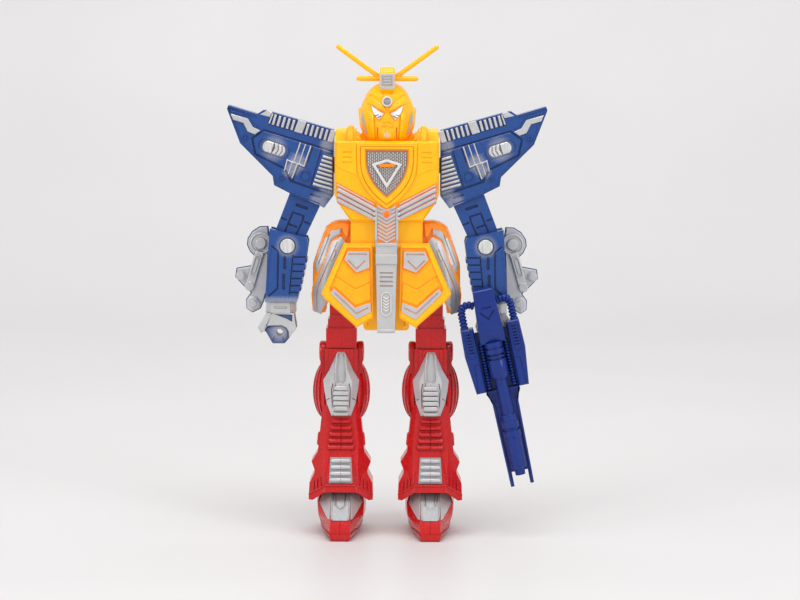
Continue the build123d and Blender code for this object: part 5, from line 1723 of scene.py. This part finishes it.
def arch_outline(reach, flat, top):
    """Opening in the front of the ankle guard: flat on top, slanting down to both sides."""
    return leg_outline([(reach, 16.0), (reach, 18.0), (flat, top)])


def ankle(add):
    """Layered ankle guard, flaring to an arched hem over the foot."""
    def section(z, grow=0.0):
        t = min(max((43.5 - z) / 25.0, 0.0), 1.0)
        half, front, back = shin_at(z)
        return octagon(half + grow, front - grow, back + grow, 3.0 + 4.0 * t)

    for part, sign in (("outer", 1), ("inner", -1)):
        form = Form().stack((43.6, section(43.6)), (31.0, section(31.0)), (24.5, section(24.5)),
                            (18.6, section(18.6)))
        cut = Form().slab(arch_outline(14.0, 8.2, 22.6), -30, -9)
        cut.stack((17, octagon(13.0, -15.5, 13.4, 5.5)), (25.2, octagon(12.0, -13.6, 12.4, 4.6)))
        cut.box((LEG_X - 40, LEG_X - 0.04) if sign > 0 else (LEG_X + 0.04, LEG_X + 40), (-40, 40), (0, 60))
        for z in (38.6, 36.0):
            half, front, back = shin_at(z)
            cut.box(leg_span(sign, half - 0.7, half + 2), (front + 5.5, back - 5.5), (z - 0.35, z + 0.35))
        for z in (37.0, 33.6, 30.2):
            draped_slab(cut, bar((LEG_X - 6.0, z), (LEG_X + 6.0, z), 1.1), shin_back, 0.6, 3.0)
        add(f"ankle_shell_{part}", form, RED, cut=cut, soften=0.3)

    layers = Form()
    for s in (-1, 1):
        for rows in FLARES:
            rings = []
            for z, x0, x1 in rows:
                _, front, back = shin_at(z)
                y0 = front + 0.2
                y1 = front + (x1 - x0) * 0.95
                rings.append([(LEG_X + s * x0, y0 - 0.5, z), (LEG_X + s * x1, y1 - 0.9, z),
                              (LEG_X + s * x1, back - 6.0, z), (LEG_X + s * (x1 - 1.6), back - 6.0, z),
                              (LEG_X + s * (x1 - 1.6), y1 + 0.8, z), (LEG_X + s * x0, y0 + 1.2, z)])
            layers.skin(rings)
    arch = Form().slab(arch_outline(15.0, 8.3, 23.6), -30, -10)
    add("ankle_flares", layers, RED, cut=arch, soften=0.35, segments=2)
    feathers = Form()
    for s in (-1, 1):
        for top, foot_end in (((10.6, 29.6), (10.2, 24.8)), ((12.2, 28.6), (12.2, 23.4)),
                              ((13.8, 27.4), (14.2, 22.2))):
            draped_slab(feathers, leg_points(s, path_band([top, foot_end], 0.8)), flare_front, 0.55, 0.5)
        for top, foot_end in (((8.0, 38.6), (8.4, 34.0)), ((10.2, 37.2), (10.6, 33.2))):
            draped_slab(feathers, leg_points(s, path_band([top, foot_end], 0.8)), flare_front, 0.5, 0.5)
    add("ankle_feathers", feathers, RED, soften=0.15)

    hem = Form()
    lower = leg_outline([(-14.4, 17.9), (-11.3, 20.2), (-8.2, 22.6)])
    upper = leg_outline([(-16.3, 20.4), (-12.0, 23.2), (-7.8, 25.8)])

    def hem_y(x, z):
        away = abs(x - LEG_X)
        return shin_at(z)[1] - 0.7 + max(0.0, away - 9.0) * 0.9

    rings = []
    for (x0, z0), (x1, z1) in zip(lower, upper):
        rings.append([(x0, hem_y(x0, z0) + 0.1, z0), (x1, hem_y(x1, z1), z1), (x1, hem_y(x1, z1) + 1.6, z1),
                      (x0, hem_y(x0, z0) + 1.6, z0)])
    hem.skin(rings)
    hem.skin([[(x, hem_y(x, z) - 0.45, z + 0.5), (x, hem_y(x, z) + 0.4, z + 0.9),
               (x, hem_y(x, z) + 0.4, z - 0.5), (x, hem_y(x, z) - 0.45, z - 0.1)] for x, z in upper])
    add("ankle_hem", hem, RED, soften=0.3)

    # the dark grey bed is painted shade between the vent ribs
    bed = Form()
    draped_slab(bed, [(LEG_X - 5.3, 39.6), (LEG_X + 5.3, 39.6), (LEG_X + 6.0, 26.9), (LEG_X - 6.0, 26.9)],
                shin_front, 0.5, 1.0)
    add("ankle_vent_bed", bed, GREY_LENS_AND_VENT_SHADE, soften=0.35, segments=3)
    vents = Form()
    for k in range(4):
        z = 37.9 - 3.1 * k
        w = 4.0 + 0.16 * k
        y = shin_front(0, z)
        vents.tube([(LEG_X - w, y - 0.3, z), (LEG_X, y - 0.45, z), (LEG_X + w, y - 0.3, z)], 1.15, 16)
    seam = Form().box(leg_width(0.1), (-40, -5), (25, 41))
    add("ankle_vent_ribs", vents, SILVER_R, cut=seam, soften=0.0)


# The foot's upper: height, toe half width and front, middle half width and place, greatest half width, heel.
FOOT = ((3.4, 4.9, -28.2, 8.9, -11.4, 10.2, 18.2), (4.9, 5.0, -27.9, 9.6, -11.6, 10.9, 18.2),
        (10.0, 5.1, -25.0, 11.3, -11.0, 12.3, 17.0), (16.0, 4.7, -18.5, 11.8, -7.6, 12.5, 14.5),
        (21.0, 4.2, -12.5, 9.6, -5.5, 10.4, 12.0), (25.5, 3.8, -8.3, 7.6, -4.0, 8.4, 10.0))


def foot_plan(toe_w, toe, mid_w, mid, half_w, heel):
    return leg_outline([(toe_w, toe), (mid_w, mid), (half_w, 4.0), (half_w, heel - 5), (half_w - 4, heel)])


def foot(add):
    sole = Form().stack((0.0, foot_plan(4.4, -28.5, 7.3, -10.0, 8.7, 18.6)),
                        (0.5, foot_plan(4.6, -28.9, 7.7, -10.1, 9.1, 19.0)),
                        (2.8, foot_plan(5.3, -29.0, 9.2, -11.0, 10.4, 19.0)),
                        (3.6, foot_plan(5.5, -29.0, 9.6, -11.0, 10.8, 19.0)))
    treads = Form()
    for k in range(9):
        y = -24.0 + 4.6 * k
        treads.box(leg_width(14), (y - 0.6, y + 0.6), (-2, 0.6))
    add("foot_sole", sole, RED, cut=treads, soften=0.3, stands_for="foot")
    upper = Form().stack(*[(z, foot_plan(*measures)) for z, *measures in FOOT])
    cut = Form().box(leg_width(0.08), (-40, -10), (0, 12))
    add("foot_upper", upper, RED, cut=cut, soften=0.35, segments=3)
    stem = Form().box(leg_width(4.9), (-5.9, 5.9), (19.5, 33.5))
    add("foot_stem", stem, RED, soften=0.3)

    def top(x, z):
        """Front slope of the upper."""
        return measures_at(FOOT, z)[1]

    plate = Form()
    half = ((4.2, 9.9), (4.7, 12.5), (4.8, 16.0), (4.6, 21.0), (4.1, 25.2))
    draped_slab(plate, leg_outline(half), top, 0.5, 1.2)
    lines = Form()
    lines.skin([[(x, -40, z) for x, z in both_about(((0.0, 14.6), (1.9, 15.6), (2.6, 21.0)), 0.5)],
                [(x, top(x, z) - 0.1, z)
                 for x, z in both_about(((0.0, 14.6), (1.9, 15.6), (2.6, 21.0)), 0.5)]])
    add("instep_plate", plate, INSTEP, cut=lines, soften=0.2)
    ridges = Form()
    for s in (-1, 1):
        line = path_band(leg_points(s, [(4.1, 10.4), (4.5, 13.0), (4.5, 16.0), (4.3, 21.0)]), 0.7)
        draped_slab(ridges, line, top, 1.2, 0.5)
        line = path_band(leg_points(s, [(2.6, 16.6), (3.3, 21.2)]), 0.6)
        draped_slab(ridges, line, top, 1.1, 0.5)
    add("instep_ridges", ridges, INSTEP, soften=0.15)
    cheeks = Form()
    for s in (-1, 1):
        rows = []
        for z, reach in ((10.4, 0.12), (13.0, 0.5), (16.0, 0.8), (21.0, 0.92), (24.0, 0.95)):
            toe_w, toe, mid_w, mid = measures_at(FOOT, z)[:4]
            a = Vector((LEG_X + s * (toe_w + 0.2), toe, z))
            b = Vector((LEG_X + s * mid_w, mid, z))
            far = a.lerp(b, reach)
            out = Vector((s * 0.85, -0.52, 0.1)) * 0.45
            rows.append([a + out, far + out, far - out * 2.0, a - out * 2.0])
        cheeks.skin(rows)
    add("instep_cheeks", cheeks, SILVER_R, soften=0.15)


def both_about(half, width):
    """Band of a width along a path that is mirrored about the leg's centre line."""
    points = [(LEG_X - x, z) for x, z in reversed(half) if x > 0] + [(LEG_X + x, z) for x, z in half]
    return path_band(points, width)


# ---- stage --------------------------------------------------------------------------------
# Paper sweep behind the figure, in metres: its front edge, half width, bend and the top of its wall.
PAPER_FRONT, PAPER_HALF_WIDTH, PAPER_TOP = -2.5, 3.0, 2.6
BEND_START, BEND_RADIUS = 0.9, 0.5


def stage():
    floor = bpy.data.meshes.new("backdrop")
    bend = [math.radians(90 * i / 24) for i in range(25)]
    profile = [(PAPER_FRONT, 0.0), (0.3, 0.0)]
    profile += [(BEND_START + BEND_RADIUS * math.sin(a), BEND_RADIUS * (1 - math.cos(a))) for a in bend]
    profile += [(BEND_START + BEND_RADIUS, PAPER_TOP)]
    verts = [(x, y, z) for y, z in profile for x in (-PAPER_HALF_WIDTH, PAPER_HALF_WIDTH)]
    faces = [(2 * i, 2 * i + 1, 2 * i + 3, 2 * i + 2) for i in range(len(profile) - 1)]
    floor.from_pydata(verts, [], faces)
    floor.shade_smooth()
    obj = bpy.data.objects.new("backdrop", floor)
    bpy.context.scene.collection.objects.link(obj)
    material, tree, shader, place = new_material("studio_paper")
    cloud = ranged(tree, noise(tree, place, 3.0, 2), 0.3, 0.7)
    tree.links.new(mix_colour(tree, cloud, (0.715, 0.705, 0.705), (0.745, 0.735, 0.735)),
                   shader.inputs["Base Color"])
    shader.inputs["Roughness"].default_value = 0.42
    shader.inputs["Specular IOR Level"].default_value = 0.35
    floor.materials.append(material)


def lamp(name, place, aim, size, power, colour=(1, 1, 1)):
    data = bpy.data.lights.new(name, "AREA")
    data.shape = "RECTANGLE"
    data.size, data.size_y = size
    data.energy = power
    data.color = colour
    obj = bpy.data.objects.new(name, data)
    obj.location = place
    obj.rotation_euler = (Vector(aim) - Vector(place)).to_track_quat("-Z", "Y").to_euler()
    bpy.context.scene.collection.objects.link(obj)


def studio():
    stage()
    world = bpy.data.worlds.new("studio_light")
    world.use_nodes = True
    world.node_tree.nodes["Background"].inputs[0].default_value = (1.0, 1.0, 1.0, 1)
    world.node_tree.nodes["Background"].inputs[1].default_value = 0.64
    bpy.context.scene.world = world
    lamp("overhead_softbox", (0.0, -0.25, 1.15), (0, 0, 0.1), (0.8, 0.6), 5.7)
    lamp("left_softbox", (-1.1, -0.9, 0.7), (0, 0, 0.12), (0.4, 0.7), 5.0)
    lamp("right_softbox", (1.1, -0.9, 0.6), (0, 0, 0.12), (0.4, 0.7), 5.0)
    lamp("backdrop_light", (0.0, 0.6, 1.4), (0, 1.35, 0.55), (1.8, 0.3), 6.0)
    bpy.context.scene.view_settings.view_transform = "Standard"


CAMERA_ELEVATION = 6.0
CAMERA_DISTANCE = 1.1
CAMERA_WIDTH = 0.404        # width of the view at the figure
CAMERA_AIM = (0.00685, 0.005, 0.118)
CAMERA_ROLL = 0.3


def camera():
    data = bpy.data.cameras.new("camera")
    data.sensor_width = 36.0
    data.lens = 36.0 * CAMERA_DISTANCE / CAMERA_WIDTH
    data.clip_end = 20.0
    obj = bpy.data.objects.new("camera", data)
    rise = math.radians(CAMERA_ELEVATION)
    aim = Vector(CAMERA_AIM)
    back = Vector((0, -math.cos(rise), math.sin(rise)))
    obj.location = aim + back * CAMERA_DISTANCE
    level = (-back).to_track_quat("-Z", "Y")
    obj.rotation_euler = (level @ Quaternion((0, 0, 1), math.radians(CAMERA_ROLL))).to_euler()
    bpy.context.scene.collection.objects.link(obj)
    bpy.context.scene.camera = obj


NODE_PAINTS = (
    (("screw",), STEEL), (("contacts", "cells"), STEEL), (("lamp_board",), BOARD), (("knee_pin",), STEEL),
    (("thigh", "shin", "foot", "hip_axle"), RED), (("blaster",), GUN_BLUE),
    (("bracket", "fist", "elbow_pin"), SILVER_B), (("shoulder", "forearm"), BLUE),
    (("",), YELLOW),
)


def paint_nodes():
    """Gives each CAD node that is still shown its own plastic or metal."""
    for name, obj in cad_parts.items():
        paint = next(p for words, p in NODE_PAINTS if any(w in name for w in words))
        obj.data.materials.clear()
        obj.data.materials.append(paint[0])


camera()
studio()
paint_nodes()
head()
torso_front()
torso_back()
front_skirt()
back_skirt()
pelvis()
blaster()
for side_name, side_sign in SIDES.items():
    side_skirt(side_name, side_sign)
    arm(side_name, side_sign)
    forearm(side_name, side_sign)
    fist(side_name, side_sign)
    thigh(side_name, side_sign)
    shin(side_name, side_sign)
